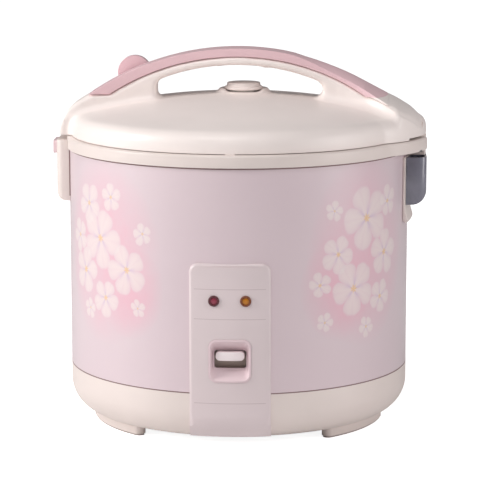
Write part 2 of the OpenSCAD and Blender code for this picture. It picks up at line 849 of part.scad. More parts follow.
module latch_housing() {
    corner = 8;
    deep = housing_over + 3 * corner;
    low = [-housing_reach, housing_z];
    color("linen") difference() {
        union() {
            difference() {
                intersection() {
                    along_y(housing_w) union() {
                        translate([low[0], low[1] + corner])
                            square([deep, housing_h - corner]);
                        translate(low + [corner, 0]) square([deep - corner, housing_h]);
                        translate(low + [corner, corner]) circle(corner);
                    }
                    translate([-housing_reach + 30, 0, 0])
                        linear_extrude(2 * rim_z) round_rect(60, 2 * housing_w, 5);
                }
                cylinder(r = panel_in_r, h = 2 * rim_z);
                translate([0, 0, rim_z - fit]) cylinder(r = body_r + rim_over + fit, h = 50);
                along_y(housing_w - housing_t) union() {
                    translate(low + [housing_t, housing_t + corner])
                        square([30, housing_h - 2 * housing_t - corner]);
                    translate(low + [housing_t + corner, housing_t]) square([20, corner + over]);
                    translate(low + [corner, corner]) circle(corner - housing_t);
                }
            }
            for (s = [0, 1]) mirror([0, s, 0]) block(
                [-housing_reach + housing_t - 0.5, hook_w + 2.8, latch_pin_z - 4],
                [-latch_x + 4, hook_w + 4.8, latch_pin_z + 5]);
        }
        pin_y(-latch_x, latch_pin_z, pivot_r, -hook_w - 5.5, hook_w + 5.5);
        block([-housing_reach - over, -button_w - gap, button_z - gap],
            [-housing_reach + housing_t + over, button_w + gap, button_top + gap]);
    }
}

module latch_pin() {
    color("silver") pin_y(-latch_x, latch_pin_z, pivot_r, -hook_w - 5.5, hook_w + 5.5);
}

module latch_hook() {
    top = nose_z + 4;
    color("lightgray") difference() {
        along_y(hook_w) {
            translate([-latch_x, latch_pin_z]) circle(4);
            translate([-hook_face, latch_pin_z]) square([hook_t, top - latch_pin_z]);
            polygon([[-hook_face - hook_nose, nose_z], [-hook_face + over, nose_z],
                [-hook_face + over, top], [-hook_face - 1, top],
                [-hook_face - hook_nose, nose_z + 1.6]]);
        }
        pin_y(-latch_x, latch_pin_z, pivot_r + run, -40, 40);
    }
}

module latch_spring() {
    color("silver") translate([-latch_x, hook_w + 0.3, latch_pin_z]) rotate([-90, 0, 0])
        close_coil(2.5, 0.7, 2.2);
}

module release_button() {
    in = -housing_reach + housing_t + 0.2;
    color("mistyrose") {
        translate([-housing_reach - button_proud, 0, latch_y]) rotate([90, 0, 90])
            linear_extrude(button_proud + housing_t + over)
                round_rect(2 * button_w, button_h, 2.5);
        block([in, -button_w - 2.5, button_z - 1.5], [in + 1.3, button_w + 2.5, button_top - gap]);
        block([in + 0.5, -4, latch_y - 3], [-hook_face - 0.4, 4, latch_y + 3]);
    }
}

// ---- Hinge and dew collector ----

module hinge_pin() {
    half = knuckle_w + gap + ear_w - 0.5;
    color("silver") pin_y(hinge_x, hinge_z, hinge_pin_r, -half, half);
}

module hinge_spring() {
    wire = 0.9;
    r = hinge_pin_r + 1.2;
    color("silver") {
        translate([hinge_x, -knuckle_in + gap, hinge_z]) rotate([-90, 0, 0])
            close_coil(r, wire, 2 * knuckle_in - 2 * gap);
        block([hinge_x - knuckle_r - 1.2, -knuckle_in + gap, hinge_z - r - 0.3],
            [hinge_x - 0.8, -knuckle_in + gap + wire, hinge_z - r + 0.2]);
    }
}

plate_a = asin((dew_w + 2) / body_r); // half angle that the collector bracket spans

module collector_bracket() {
    rib_drop = 12.5; // the bracket's lower rib lies this far under the collector
    low = collector_top - dew_h - rib_drop;
    in = panel_in_r;
    out = in + 1.8;
    color("linen") turned(-plate_a, plate_a) polygon([
        [in, low], [out + 1, low - 2.5], [out + 2.4, low], [out + 0.4, low + 7],
        [out, low + 12], [out, collector_top], [in, collector_top]]);
}

// Outline of the dew collector in x and z, drawn in by off
module cup_side(off) {
    low = collector_top - gap - dew_h;
    translate([body_r - 10, low + off]) square([dew_reach - body_r + 10 - dew_corner, dew_h + over]);
    translate([body_r - 10, low + dew_corner])
        square([dew_reach - body_r + 10 - off, dew_h - dew_corner + over]);
    translate([dew_reach - dew_corner, low + dew_corner]) circle(dew_corner - off);
}

module dew_collector() {
    in = panel_in_r + 1.8 + gap;
    color("slategray") difference() {
        intersection() {
            along_y(dew_w) cup_side(0);
            translate([dew_reach - 30, 0, 0]) linear_extrude(collector_top - gap)
                round_rect(60, 2 * dew_w, 6);
        }
        cylinder(r = in, h = rim_z);
        difference() {
            intersection() {
                along_y(dew_w - dew_wall) cup_side(dew_wall);
                translate([dew_reach - 30 - dew_wall, 0, 0]) linear_extrude(rim_z)
                    round_rect(60, 2 * dew_w - 2 * dew_wall, 5);
            }
            cylinder(r = in + dew_wall, h = rim_z);
        }
    }
}

// ---- Lid ----

// The lid in plan, drawn in by off
module lid_plan(off) {
    circle(lid_r - off);
    translate([bulge_x, 0]) circle(lid_bulge_r - off);
}

// The dome of the lid, drawn in by off and carried down past the lid edge
module dome(off) {
    turn = asin(shoulder_x / (dome_r - shoulder_r));
    rotate_extrude() polygon(concat([[0, lid_z - over], [lid_r - off, lid_z - over]],
        arc([shoulder_x, lid_z + lid_wall_h], shoulder_r - off, 0, 90 - turn, 8),
        arc([0, dome_z], dome_r - off, 90 - turn * 14 / 15, 90, 14)));
}

// The low part of the lid over the hinge bulge
module nose(off) {
    r = lid_bulge_r;
    translate([bulge_x, 0, 0]) rotate_extrude() polygon(concat(
        [[0, lid_z - over], [r - off, lid_z - over]],
        arc([r - shoulder_r, lid_z + lid_wall_h], shoulder_r - off, 0, 90, 8),
        [[0, lid_z + lid_wall_h + shoulder_r - off]]));
}

// Outline of the handle: two shoulders and a crown joined by straight flanks
module arch(end_off, crown_off) {
    polygon(concat(
        [[nose_reach - end_off, lid_z - 5]],
        arc([end_xr, end_zr], end_r - end_off, 0, 90 - slope_r, 8),
        arc(crown, crown_r - crown_off, 90 - slope_r, 90 + slope_l, 26),
        arc([end_xl, end_zl], end_r - end_off, 90 + slope_l, 180, 8),
        [[-leg_reach + end_off, lid_z - 5]]));
}

// The handle in plan, drawn in by off: it flares out to the hinge bulge
module handle_plan(off) {
    steps = 8;
    right = flare_x + 0.94 * flare_r; // the flare has crossed the bulge by here
    xs = concat(
        [for (i = [0:steps]) -leg_reach + off + (leg_reach - off - flare_x) * i / steps],
        [for (i = [0:steps]) flare_x + (right - flare_x) * i / steps],
        [nose_reach - off]);
    function half(x) = half_width(min(x, right)) - off;
    intersection() {
        polygon(concat([for (x = xs) [x, -half(x)]],
            [for (i = [len(xs) - 1:-1:0]) [xs[i], half(xs[i])]]));
        union() {
            lid_plan(off + shy);
            translate([-leg_reach + off, -leg_w + off]) square([leg_reach / 2, 2 * (leg_w - off)]);
        }
    }
}

// Rounds the hinge end of the handle off in plan as it rises, drawn in by off
module nose_round(off) {
    r = 45 - off;
    turn = 60;
    c = [lid_bulge_r - shy - 45, lid_z + 4];
    block([-2 * lid_r, -lid_r, 0], [bulge_x, lid_r, 2 * lid_z]);
    translate([bulge_x, 0, 0]) rotate_extrude() polygon(concat([[0, 0], [c[0] + r, 0]],
        arc(c, r, 0, turn, 10),
        [[0, c[1] + r * sin(turn) + (c[0] + r * cos(turn)) / tan(turn)]]));
}

module handle_form() {
    intersection() {
        along_y(lid_r) arch(0, 0);
        linear_extrude(2 * lid_z) handle_plan(0);
        nose_round(0);
        block([-200, -200, lid_z], [200, 200, 2 * lid_z]);
    }
}

// What lies above the line between the handle core and its cover
module cover_zone(c) {
    along_y(lid_r) difference() {
        translate([-200, cover_end - c]) square([400, 100]);
        translate(cover_in) circle(cover_r - c);
    }
}

// The finger opening under the grip
module finger_opening() {
    r = 5;
    low = lid_z + 12;
    xr = finger_r - r;
    xl = -finger_l + r;
    zr = finger_arc[1] + sqrt(pow(finger_arc_r - r, 2) - pow(xr - crown_x, 2));
    zl = finger_arc[1] + sqrt(pow(finger_arc_r - r, 2) - pow(xl - crown_x, 2));
    ar = atan2(zr - finger_arc[1], xr - crown_x);
    al = atan2(zl - finger_arc[1], xl - crown_x);
    along_y(lid_r) polygon(concat([[finger_r, low]], arc([xr, zr], r, 0, ar, 5),
        arc(finger_arc, finger_arc_r, ar, al, 14), arc([xl, zl], r, al, 180, 5),
        [[-finger_l, low]]));
}

// The hollow inside the handle's two legs
module leg_hollow() {
    difference() {
        intersection() {
            along_y(lid_r) arch(wall, cover_t + wall + 6);
            translate([0, 0, lid_z - over]) linear_extrude(lid_z) handle_plan(wall);
            nose_round(wall);
        }
        block([-finger_l - wall, -lid_r, 0], [finger_r + wall, lid_r, 2 * lid_z]);
    }
}

// Raised dish round the steam vent, open at the front for a finger
module vent_dish() {
    difference() {
        translate([vent_x, vent_y, vent_z - 3]) cylinder(r1 = dish_r + 2, r2 = dish_r - 4, h = dish_h + 3);
        translate([vent_x, vent_y, vent_z + 1]) cylinder(r = cap_r + 1.2, h = 20);
        translate([vent_x, 0, 0]) block([-cap_r + 1, vent_y - 40, vent_z + 1], [cap_r - 1, vent_y, lid_z + 60]);
    }
}

module lid_shell() {
    color("linen") difference() {
        union() {
            intersection() {
                union() {
                    dome(0);
                    nose(0);
                }
                block([-200, -200, lid_z], [200, 200, 2 * lid_z]);
            }
            intersection() {
                handle_form();
                block([-200, -200, 0], [200, 200, core_z]);
            }
            vent_dish();
        }
        difference() {
            union() {
                dome(wall);
                nose(wall);
                leg_hollow();
            }
            catch();
        }
        block([nose_from, -lid_r, lid_z - over], [2 * lid_r, lid_r, lid_z + nose_lift]);
        translate([vent_x, vent_y, 0]) cylinder(r = vent_r + fit, h = 2 * lid_z);
    }
}

// The ledge inside the lid that the latch hook holds
module catch() {
    block([-leg_reach + wall - 0.5, -hook_w - 2, catch_z], [-catch_in, hook_w + 2, catch_z + catch_t]);
}

// Legs and grip bar of the handle, seated on the dome and on the lid's two shoulders
module handle_core() {
    color("linen") difference() {
        handle_form();
        cover_zone(fit);
        finger_opening();
        leg_hollow();
        dome(-fit);
        nose(-fit);
        block([-200, -200, 0], [200, 200, core_z + fit]);
    }
}

module handle_cover() {
    color("pink") difference() {
        intersection() {
            handle_form();
            cover_zone(0);
        }
        pin_y(lock_x, lock_z, lock_pin_r, 3, 40);
    }
}

module lid_frame() {
    edge = wall + fit;
    nose_z0 = lid_z + nose_lift + 0.2;
    color("whitesmoke") difference() {
        union() {
            translate([0, 0, frame_z]) linear_extrude(frame_t) intersection() {
                circle(lid_r - edge);
                translate([-200, -200]) square([200 + nose_from, 400]);
            }
            translate([0, 0, nose_z0]) linear_extrude(frame_t) intersection() {
                lid_plan(edge);
                translate([lid_r - 25, -200]) square([200, 400]);
            }
            tube(inner_lid_r + 3.4, inner_lid_r + 0.6, gasket_z + 1, frame_z + over);
            for (s = [0, 1]) mirror([0, s, 0]) {
                pin_y(hinge_x, hinge_z, knuckle_r, knuckle_in, knuckle_w);
                block([hinge_x - 3.3, knuckle_in, hinge_z], [hinge_x + 0.5, knuckle_w, nose_z0 + over]);
            }
        }
        pin_y(hinge_x, hinge_z, hinge_pin_r + run, -40, 40);
        translate([vent_x, vent_y, 0]) cylinder(r = vent_r + fit, h = 2 * lid_z);
        block([-lid_r, -hook_w - 0.8, 0],
            [-hook_face + hook_t + 6, hook_w + 0.8, 2 * lid_z]);
    }
}

module inner_lid() {
    color("silver") difference() {
        union() {
            translate([0, 0, frame_z - inner_lid_t]) cylinder(r = inner_lid_r, h = inner_lid_t);
            for (r = [40, 70]) translate([0, 0, frame_z - inner_lid_t]) at_axis(r) circle(0.8, $fn = 24);
        }
        translate([vent_x, vent_y, 0]) cylinder(r = vent_r - 1.6, h = 2 * lid_z);
        translate([0, 0, frame_z]) cylinder(r = inner_lid_r, h = 5);
    }
}

module inner_lid_gasket() {
    r = inner_lid_r;
    z = frame_z - inner_lid_t;
    color("ivory") rotate_extrude() polygon([[r, z], [r - 6, z], [r - 8, gasket_z],
        [r - 6.4, gasket_z], [r - 4.6, z - 1.6], [r, z - 1.6]]);
}

module vent_tube() {
    top = cap_z - gap;
    color("ivory") translate([vent_x, vent_y, 0]) {
        tube(vent_r, vent_r - 1.6, frame_z, top);
        tube(vent_r + 3, vent_r - 1, top - 1, top);
    }
}

module steam_cap() {
    color("linen") translate([vent_x, vent_y, cap_z]) {
        cylinder(r = cap_r, h = cap_h * 0.45);
        cylinder(r1 = cap_r - 1.2, r2 = cap_r - 2, h = cap_h);
        translate([0, 0, -4]) tube(vent_r - 1.8, vent_r - 3.2, 0, 4 + over);
    }
}

module lock_pin() {
    color("silver") pin_y(lock_x, lock_z, lock_pin_r, 3, lock_from + lock_t - 2);
}

module lock_knob() {
    color("pink") difference() {
        union() {
            pin_y(lock_x, lock_z, lock_r, lock_from, lock_from + lock_t);
            block([lock_x - 2.5, lock_from + over, lock_z - lock_r + 3],
                [lock_x + 2.5, lock_from + lock_t + 3, lock_z + lock_r - 3]);
        }
        pin_y(lock_x, lock_z, lock_pin_r + run, 0, lock_from + lock_t - 1.7);
    }
}

base_shell();
foot_pads();
bottom_plate();
base_screws();
outer_shell();
rim_ring();
inner_liner();
inner_pot();
heater_plate();
heater_terminals();
side_heater();
sensor_bracket();
sensor_spring();
sensor_cup();
sensor_ferrite();
magnet_rod();
lever_bracket();
lever_pin();
cook_lever();
lever_knob();
micro_switch();
control_panel();
switch_bezel();
cook_lamp_lens();
warm_lamp_lens();
lamp_holder();
neon_lamps();
power_inlet();
inlet_pins();
latch_housing();
latch_pin();
latch_hook();
latch_spring();
release_button();
hinge_pin();
hinge_spring();
collector_bracket();
dew_collector();
lid_shell();
handle_core();
lid_frame();
handle_cover();
inner_lid();
inner_lid_gasket();
vent_tube();
steam_cap();
lock_pin();
lock_knob();
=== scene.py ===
import json
import math
import bpy
import bmesh
import numpy as np
from mathutils import Matrix, Vector
from mathutils.bvhtree import BVHTree


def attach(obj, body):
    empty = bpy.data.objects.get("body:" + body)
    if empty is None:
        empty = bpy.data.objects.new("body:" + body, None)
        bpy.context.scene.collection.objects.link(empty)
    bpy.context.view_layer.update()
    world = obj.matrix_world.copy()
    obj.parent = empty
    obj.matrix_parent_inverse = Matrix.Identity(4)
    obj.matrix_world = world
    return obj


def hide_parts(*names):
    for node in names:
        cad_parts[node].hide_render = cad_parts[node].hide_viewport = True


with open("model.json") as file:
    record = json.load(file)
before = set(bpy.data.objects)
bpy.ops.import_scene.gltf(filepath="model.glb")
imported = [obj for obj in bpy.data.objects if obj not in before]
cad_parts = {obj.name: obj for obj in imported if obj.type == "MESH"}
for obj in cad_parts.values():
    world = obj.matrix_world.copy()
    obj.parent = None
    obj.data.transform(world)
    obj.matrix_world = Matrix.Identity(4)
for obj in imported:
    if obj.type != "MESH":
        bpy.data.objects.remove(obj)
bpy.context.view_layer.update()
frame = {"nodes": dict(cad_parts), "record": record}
nodes = frame["nodes"]
mm = 0.001
shellRadius = 137 * mm
sharpFrom = 32                # degrees: steeper edges are rounded over, and stay sharp in the shading
beyond = 200 * mm             # past every side of the cooker, for what cuts it
print("frame loaded:", len(nodes), "nodes")

# camera, lights and floor
studio = {
    "cameraPlace": (0.096, -1.912, 0.4706),
    "cameraTurn": 2.7,        # degrees to the left of straight ahead
    "cameraDip": 9.88,        # degrees below the horizon
    "lens": 174.0,
    "sensor": 36,
    "seesTo": 50,             # metres
    # name: place, what it points at, size, watts, colour
    "lights": {
        "keyLight": ((-2.0, -0.6, 1.0), (0, 0, 0.15), (0.7, 1.2), 35.0, (1, 0.985, 0.965)),
        "fillLight": ((1.85, -0.6, 0.6), (0, 0, 0.15), (0.9, 1.2), 12.0, (1, 0.97, 0.96)),
        "topLight": ((-0.2, -1.2, 1.75), (0, 0, 0.2), (1.0, 0.8), 10.0, (1, 1, 1)),
    },
    "worldColour": (1, 0.985, 0.99, 1),
    "worldLevel": 0.22,       # as light on the cooker
    "worldSeen": 1.1,         # as the camera sees it
    "floorHalf": 6,           # metres from its middle to its edge
    "floorGrain": (3, 2),
    "floorShades": ((0.9, 0.9, 0.9), (0.93, 0.93, 0.93)),
    "floorRough": 0.8,
    "floorShine": 0.1,
    "floorGlow": 0.88,
}


def placeCamera():
    cameraData = bpy.data.cameras.new("camera")
    cameraData.sensor_width = studio["sensor"]
    cameraData.lens = studio["lens"]
    cameraData.clip_end = studio["seesTo"]
    camera = bpy.data.objects.new("camera", cameraData)
    bpy.context.scene.collection.objects.link(camera)
    camera.location = studio["cameraPlace"]
    camera.rotation_euler = (math.radians(90 - studio["cameraDip"]), 0, math.radians(studio["cameraTurn"]))
    bpy.context.scene.camera = camera


def areaLight(name, place, target, size, watts, colour):
    lightData = bpy.data.lights.new(name, "AREA")
    lightData.shape = "RECTANGLE"
    lightData.size, lightData.size_y = size
    lightData.energy = watts
    lightData.color = colour
    light = bpy.data.objects.new(name, lightData)
    bpy.context.scene.collection.objects.link(light)
    light.location = place
    light.rotation_euler = (Vector(target) - Vector(place)).to_track_quat("-Z", "Y").to_euler()


def makeStudio():
    placeCamera()
    for name, settings in studio["lights"].items():
        areaLight(name, *settings)
    world = bpy.data.worlds.new("studioWorld")
    bpy.context.scene.world = world
    world.use_nodes = True
    tree = world.node_tree
    background = tree.nodes["Background"]
    background.inputs["Color"].default_value = studio["worldColour"]
    level = rangeOf(tree, seenByCamera(tree), studio["worldLevel"], studio["worldSeen"])
    tree.links.new(level, background.inputs["Strength"])
    bpy.context.scene.view_settings.view_transform = "Standard"
    floorMesh = bmesh.new()
    bmesh.ops.create_grid(floorMesh, x_segments=1, y_segments=1, size=studio["floorHalf"])
    floor = newPiece("studioFloor", floorMesh)
    floor.data.materials.append(floorPaint())
    print("studio ready")


# pieces
def newPiece(name, bm):
    mesh = bpy.data.meshes.new(name)
    bm.to_mesh(mesh)
    bm.free()
    piece = bpy.data.objects.new(name, mesh)
    bpy.context.scene.collection.objects.link(piece)
    return piece


def applyModifiers(piece):
    depsgraph = bpy.context.evaluated_depsgraph_get()
    mesh = bpy.data.meshes.new_from_object(piece.evaluated_get(depsgraph))
    piece.modifiers.clear()
    old = piece.data
    piece.data = mesh
    bpy.data.meshes.remove(old)


def smoothShade(piece, angle=sharpFrom):
    piece.data.shade_smooth()
    piece.data.set_sharp_from_angle(angle=math.radians(angle))


def boundsOf(nodeName):
    points = [v.co for v in nodes[nodeName].data.vertices]
    return [Vector([f(p[axis] for p in points) for axis in range(3)]) for f in (min, max)]


def copyOfNodes(*nodeNames):
    bm = bmesh.new()
    for nodeName in nodeNames:
        bm.from_mesh(nodes[nodeName].data)
    bmesh.ops.remove_doubles(bm, verts=bm.verts, dist=0.01 * mm)
    return bm


# a copy whose flat faces are whole again
def flatCopy(nodeName):
    bm = copyOfNodes(nodeName)
    bmesh.ops.dissolve_limit(bm, angle_limit=math.radians(1), verts=bm.verts, edges=bm.edges)
    return bm


# a copy of a moulding with its edges rounded over
def roundedCopy(name, nodeName, width, segments=3, angle=sharpFrom):
    piece = newPiece(name, flatCopy(nodeName))
    bevel = piece.modifiers.new("edges", "BEVEL")
    bevel.width = width
    bevel.segments = segments
    bevel.limit_method = "ANGLE"
    bevel.angle_limit = math.radians(angle)
    applyModifiers(piece)
    smoothShade(piece)
    return piece


def boxPiece(name, low, high):
    middle, size = (Vector(low) + Vector(high)) / 2, Vector(high) - Vector(low)
    bm = bmesh.new()
    bmesh.ops.create_cube(bm, size=1, matrix=Matrix.Translation(middle) @ Matrix.Diagonal((*size, 1)))
    return newPiece(name, bm)


# a closed outline turned once round an axis
def turnedRing(name, outline, middle, axis, steps):
    bm = bmesh.new()
    loop = [bm.verts.new(point) for point in outline]
    ring = [bm.edges.new(ends) for ends in zip(loop, loop[1:] + loop[:1])]
    bmesh.ops.spin(bm, geom=loop + ring, cent=middle, axis=axis, angle=2 * math.pi, steps=steps,
                   use_merge=True)
    bmesh.ops.remove_doubles(bm, verts=bm.verts, dist=0.001 * mm)
    bmesh.ops.recalc_face_normals(bm, faces=bm.faces)
    piece = newPiece(name, bm)
    smoothShade(piece)
    return piece


def cutBy(piece, tool, operation="DIFFERENCE"):
    cut = piece.modifiers.new("cut", "BOOLEAN")
    cut.operation = operation
    cut.solver = "EXACT"
    cut.object = tool
    applyModifiers(piece)
    mesh = tool.data
    bpy.data.objects.remove(tool)
    bpy.data.meshes.remove(mesh)


def finishPiece(piece, body, nodeNames, material):
    piece.data.materials.clear()
    piece.data.materials.append(material)
    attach(piece, body)
    if nodeNames:
        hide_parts(*nodeNames)


def makeBox(name, low, high, body, material):
    finishPiece(boxPiece(name, low, high), body, [], material)
    print(name)


# what the materials are put together from
def newMaterial(name):
    material = bpy.data.materials.new(name)
    material.use_nodes = True
    tree = material.node_tree
    return material, tree, tree.nodes["Principled BSDF"]


def addNode(tree, kind, values=None, **settings):
    node = tree.nodes.new(kind)
    for key, value in settings.items():
        setattr(node, key, value)
    for key, value in (values or {}).items():
        node.inputs[key].default_value = value
    return node


def objectCoordinates(tree):
    return addNode(tree, "ShaderNodeTexCoord").outputs["Object"]


def seenByCamera(tree):
    return addNode(tree, "ShaderNodeLightPath").outputs["Is Camera Ray"]


def mathsOf(tree, operation, *terms, clamp=False):
    node = addNode(tree, "ShaderNodeMath", operation=operation, use_clamp=clamp)
    for socket, term in zip(node.inputs, terms):
        if isinstance(term, (int, float)):
            socket.default_value = term
        else:
            tree.links.new(term, socket)
    return node.outputs[0]


def mixOf(tree, share, first, second):
    mix = addNode(tree, "ShaderNodeMix", data_type="RGBA")
    tree.links.new(share, mix.inputs["Factor"])
    for socket, colour in ((mix.inputs[6], first), (mix.inputs[7], second)):
        if isinstance(colour, tuple):
            socket.default_value = (*colour, 1)
        else:
            tree.links.new(colour, socket)
    return mix.outputs[2]


def noiseOf(tree, scale, detail, rough=0.5, stretch=None):
    noise = addNode(tree, "ShaderNodeTexNoise", {"Scale": scale, "Detail": detail, "Roughness": rough})
    place = objectCoordinates(tree)
    if stretch:
        mapping = addNode(tree, "ShaderNodeMapping", {"Scale": stretch})
        tree.links.new(place, mapping.inputs["Vector"])
        place = mapping.outputs["Vector"]
    tree.links.new(place, noise.inputs["Vector"])
    return noise.outputs["Fac"]


def rampOf(tree, source, low, high, places=(0.3, 0.7)):
    ramp = addNode(tree, "ShaderNodeValToRGB")
    for element, place, colour in zip(ramp.color_ramp.elements, places, (low, high)):
        element.position = place
        element.color = (*colour, 1)
    tree.links.new(source, ramp.inputs["Fac"])
    return ramp.outputs["Color"]


def rangeOf(tree, source, low, high):
    mapRange = addNode(tree, "ShaderNodeMapRange", {"To Min": low, "To Max": high})
    tree.links.new(source, mapRange.inputs["Value"])
    return mapRange.outputs["Result"]


def linear(colour):
    return tuple(((c / 255 + 0.055) / 1.055) ** 2.4 if c > 10 else c / 255 / 12.92 for c in colour)


def darkened(colour, share):
    return tuple(c * share for c in linear(colour))


# roughness between two values, bump from a height, and the clear shine on top
def roughOf(tree, shader, source, low, high):
    tree.links.new(rangeOf(tree, source, low, high), shader.inputs["Roughness"])


def bumpOf(tree, shader, height, strength, distance):
    bump = addNode(tree, "ShaderNodeBump", {"Strength": strength, "Distance": distance})
    tree.links.new(height, bump.inputs["Height"])
    tree.links.new(bump.outputs["Normal"], shader.inputs["Normal"])


def coatOf(shader, weight, rough):
    shader.inputs["Coat Weight"].default_value = weight
    shader.inputs["Coat Roughness"].default_value = rough


# moulded plastic: a little cloudiness, a faint orange-peel and a soft clear shine
plastic = {
    "clouds": (14, 3),        # scale and detail of each noise
    "smears": (60, 4),
    "peel": (900, 2),
    "peelStrength": 0.05,
    "peelHeight": 0.4 * mm,
    "darker": 0.94,
    "smoother": 0.05,         # how far the smears change the roughness
    "rougher": 0.06,
    "coatRough": 0.18,
}


def mouldedPlastic(name, colour, rough=0.32, coat=0.25):
    material, tree, shader = newMaterial(name)
    cloud = noiseOf(tree, *plastic["clouds"])
    shade = rampOf(tree, cloud, darkened(colour, plastic["darker"]), linear(colour))
    tree.links.new(shade, shader.inputs["Base Color"])
    smears = noiseOf(tree, *plastic["smears"])
    roughOf(tree, shader, smears, rough - plastic["smoother"], rough + plastic["rougher"])
    coatOf(shader, coat, plastic["coatRough"])
    bumpOf(tree, shader, noiseOf(tree, *plastic["peel"]), plastic["peelStrength"], plastic["peelHeight"])
    return material


# metal, with fine marks that run across the stretched axis
metal = {
    "marks": (260, 6, 0.7),
    "rolled": (1, 1, 30),     # stretch of the marks on rolled sheet
    "darker": 0.8,
    "smoother": 0.07,
    "rougher": 0.1,
    "strength": 0.06,
    "height": 0.3 * mm,
}


def sheetMetal(name, colour, rough=0.32, stretch=(1, 1, 1), metallic=1.0):
    material, tree, shader = newMaterial(name)
    brushed = noiseOf(tree, *metal["marks"], stretch=stretch)
    shade = rampOf(tree, brushed, darkened(colour, metal["darker"]), linear(colour), (0.25, 0.75))
    tree.links.new(shade, shader.inputs["Base Color"])
    roughOf(tree, shader, brushed, rough - metal["smoother"], rough + metal["rougher"])
    shader.inputs["Metallic"].default_value = metallic
    bumpOf(tree, shader, brushed, metal["strength"], metal["height"])
    return material


rubber = {"specks": (700, 4), "darker": 0.8, "spread": 0.08, "strength": 0.12, "height": 0.3 * mm}


def softRubber(name, colour, rough=0.75):
    material, tree, shader = newMaterial(name)
    speck = noiseOf(tree, *rubber["specks"])
    shade = rampOf(tree, speck, darkened(colour, rubber["darker"]), linear(colour))
    tree.links.new(shade, shader.inputs["Base Color"])
    roughOf(tree, shader, speck, rough - rubber["spread"], rough + rubber["spread"])
    bumpOf(tree, shader, speck, rubber["strength"], rubber["height"])
    return material


# clear or tinted plastic and glass, which may glow a little
clear = {"clouds": (90, 3), "darker": 0.88, "smoother": 0.02, "rougher": 0.04, "bending": 1.49, "coat": 0.4}


def clearPlastic(name, colour, rough, through, glow=0.0):
    material, tree, shader = newMaterial(name)
    cloud = noiseOf(tree, *clear["clouds"])
    shade = rampOf(tree, cloud, darkened(colour, clear["darker"]), linear(colour))
    tree.links.new(shade, shader.inputs["Base Color"])
    roughOf(tree, shader, cloud, rough - clear["smoother"], rough + clear["rougher"])
    shader.inputs["Transmission Weight"].default_value = through
    shader.inputs["IOR"].default_value = clear["bending"]
    shader.inputs["Coat Weight"].default_value = clear["coat"]
    if glow:
        tree.links.new(shade, shader.inputs["Emission Color"])
        shader.inputs["Emission Strength"].default_value = glow
    return material


# seen as paper white, with only the closest shadows left
def floorPaint():
    material, tree, shader = newMaterial("floorPaint")
    shade = rampOf(tree, noiseOf(tree, *studio["floorGrain"]), *studio["floorShades"])
    tree.links.new(shade, shader.inputs["Base Color"])
    shader.inputs["Roughness"].default_value = studio["floorRough"]
    shader.inputs["Specular IOR Level"].default_value = studio["floorShine"]
    shader.inputs["Emission Color"].default_value = (1, 1, 1, 1)
    glow = rangeOf(tree, seenByCamera(tree), 0.0, studio["floorGlow"])
    tree.links.new(glow, shader.inputs["Emission Strength"])
    return material


# one blossom, in shares of its own size
blossom = {
    "petals": 5,
    "notch": 0.48,            # how far the notch between two petals goes in
    "roundness": 0.34,        # lower makes the petals broader
    "crispness": 12.0,        # of the petal's edge
    "vein": 0.22,             # shade of the line down the middle, and how thin it is
    "veinThin": 40,
    "between": 0.9,           # shade where two petals meet
    "tip": 0.55,
    "stamens": 7,
    "stamenReach": 0.17,
    "stamenCrispness": 14,
    "accentReach": 1.6,       # higher keeps the cool shadow nearer the middle
    "accentStrength": 1.6,
}

# the print on the shell
flowerPrint = {
    "ground": (226, 208, 213),
    "groundLow": (219, 200, 207),
    "halo": (234, 184, 198),
    "petal": (238, 226, 223),
    "petalEdge": (228, 204, 212),
    "accent": (204, 188, 216),
    "stamen": (238, 200, 130),
    "petalCover": 0.78,
    "groundGrain": (9, 3),    # scale and detail of each noise
    "wobbleGrain": (55, 3),
    "wobble": 5.0,            # mm that the edges wander
    "cloudGrain": (38, 5, 0.6),
    "cloudLift": 0.12,
    "cloudStrength": 1.15,
    "smears": (40, 3),
    "rough": (0.3, 0.38),
    "coat": (0.35, 0.2),      # weight, roughness
    "peel": (500, 2),
    "peelStrength": 0.04,
    "peelHeight": 0.3 * mm,
    # around the body from the front in mm, height, size, turn in degrees
    "blossoms": [
        (-134, 184, 17, 20), (-104, 192, 12, 50), (-118, 158, 25, 5), (-88, 136, 21, 34),
        (-141, 130, 19, 66), (-112, 111, 16, 12), (-72, 166, 9, 40), (-152, 156, 14, 28),
        (-134, 100, 9, 60), (-76, 108, 8, 47),
        (118, 176, 26, 33), (88, 150, 16, 8), (141, 146, 19, 58), (104, 122, 23, 25),
        (146, 186, 13, 44), (136, 112, 14, 12), (72, 128, 11, 38), (84, 184, 9, 66),
        (76, 98, 8, 5), (118, 90, 9, 20),
    ],
    # soft pink clouds behind them: around the body, height, half width, half height
    "clouds": [(-114, 148, 60, 74), (-86, 122, 34, 40), (116, 150, 56, 76), (88, 124, 34, 42)],
}


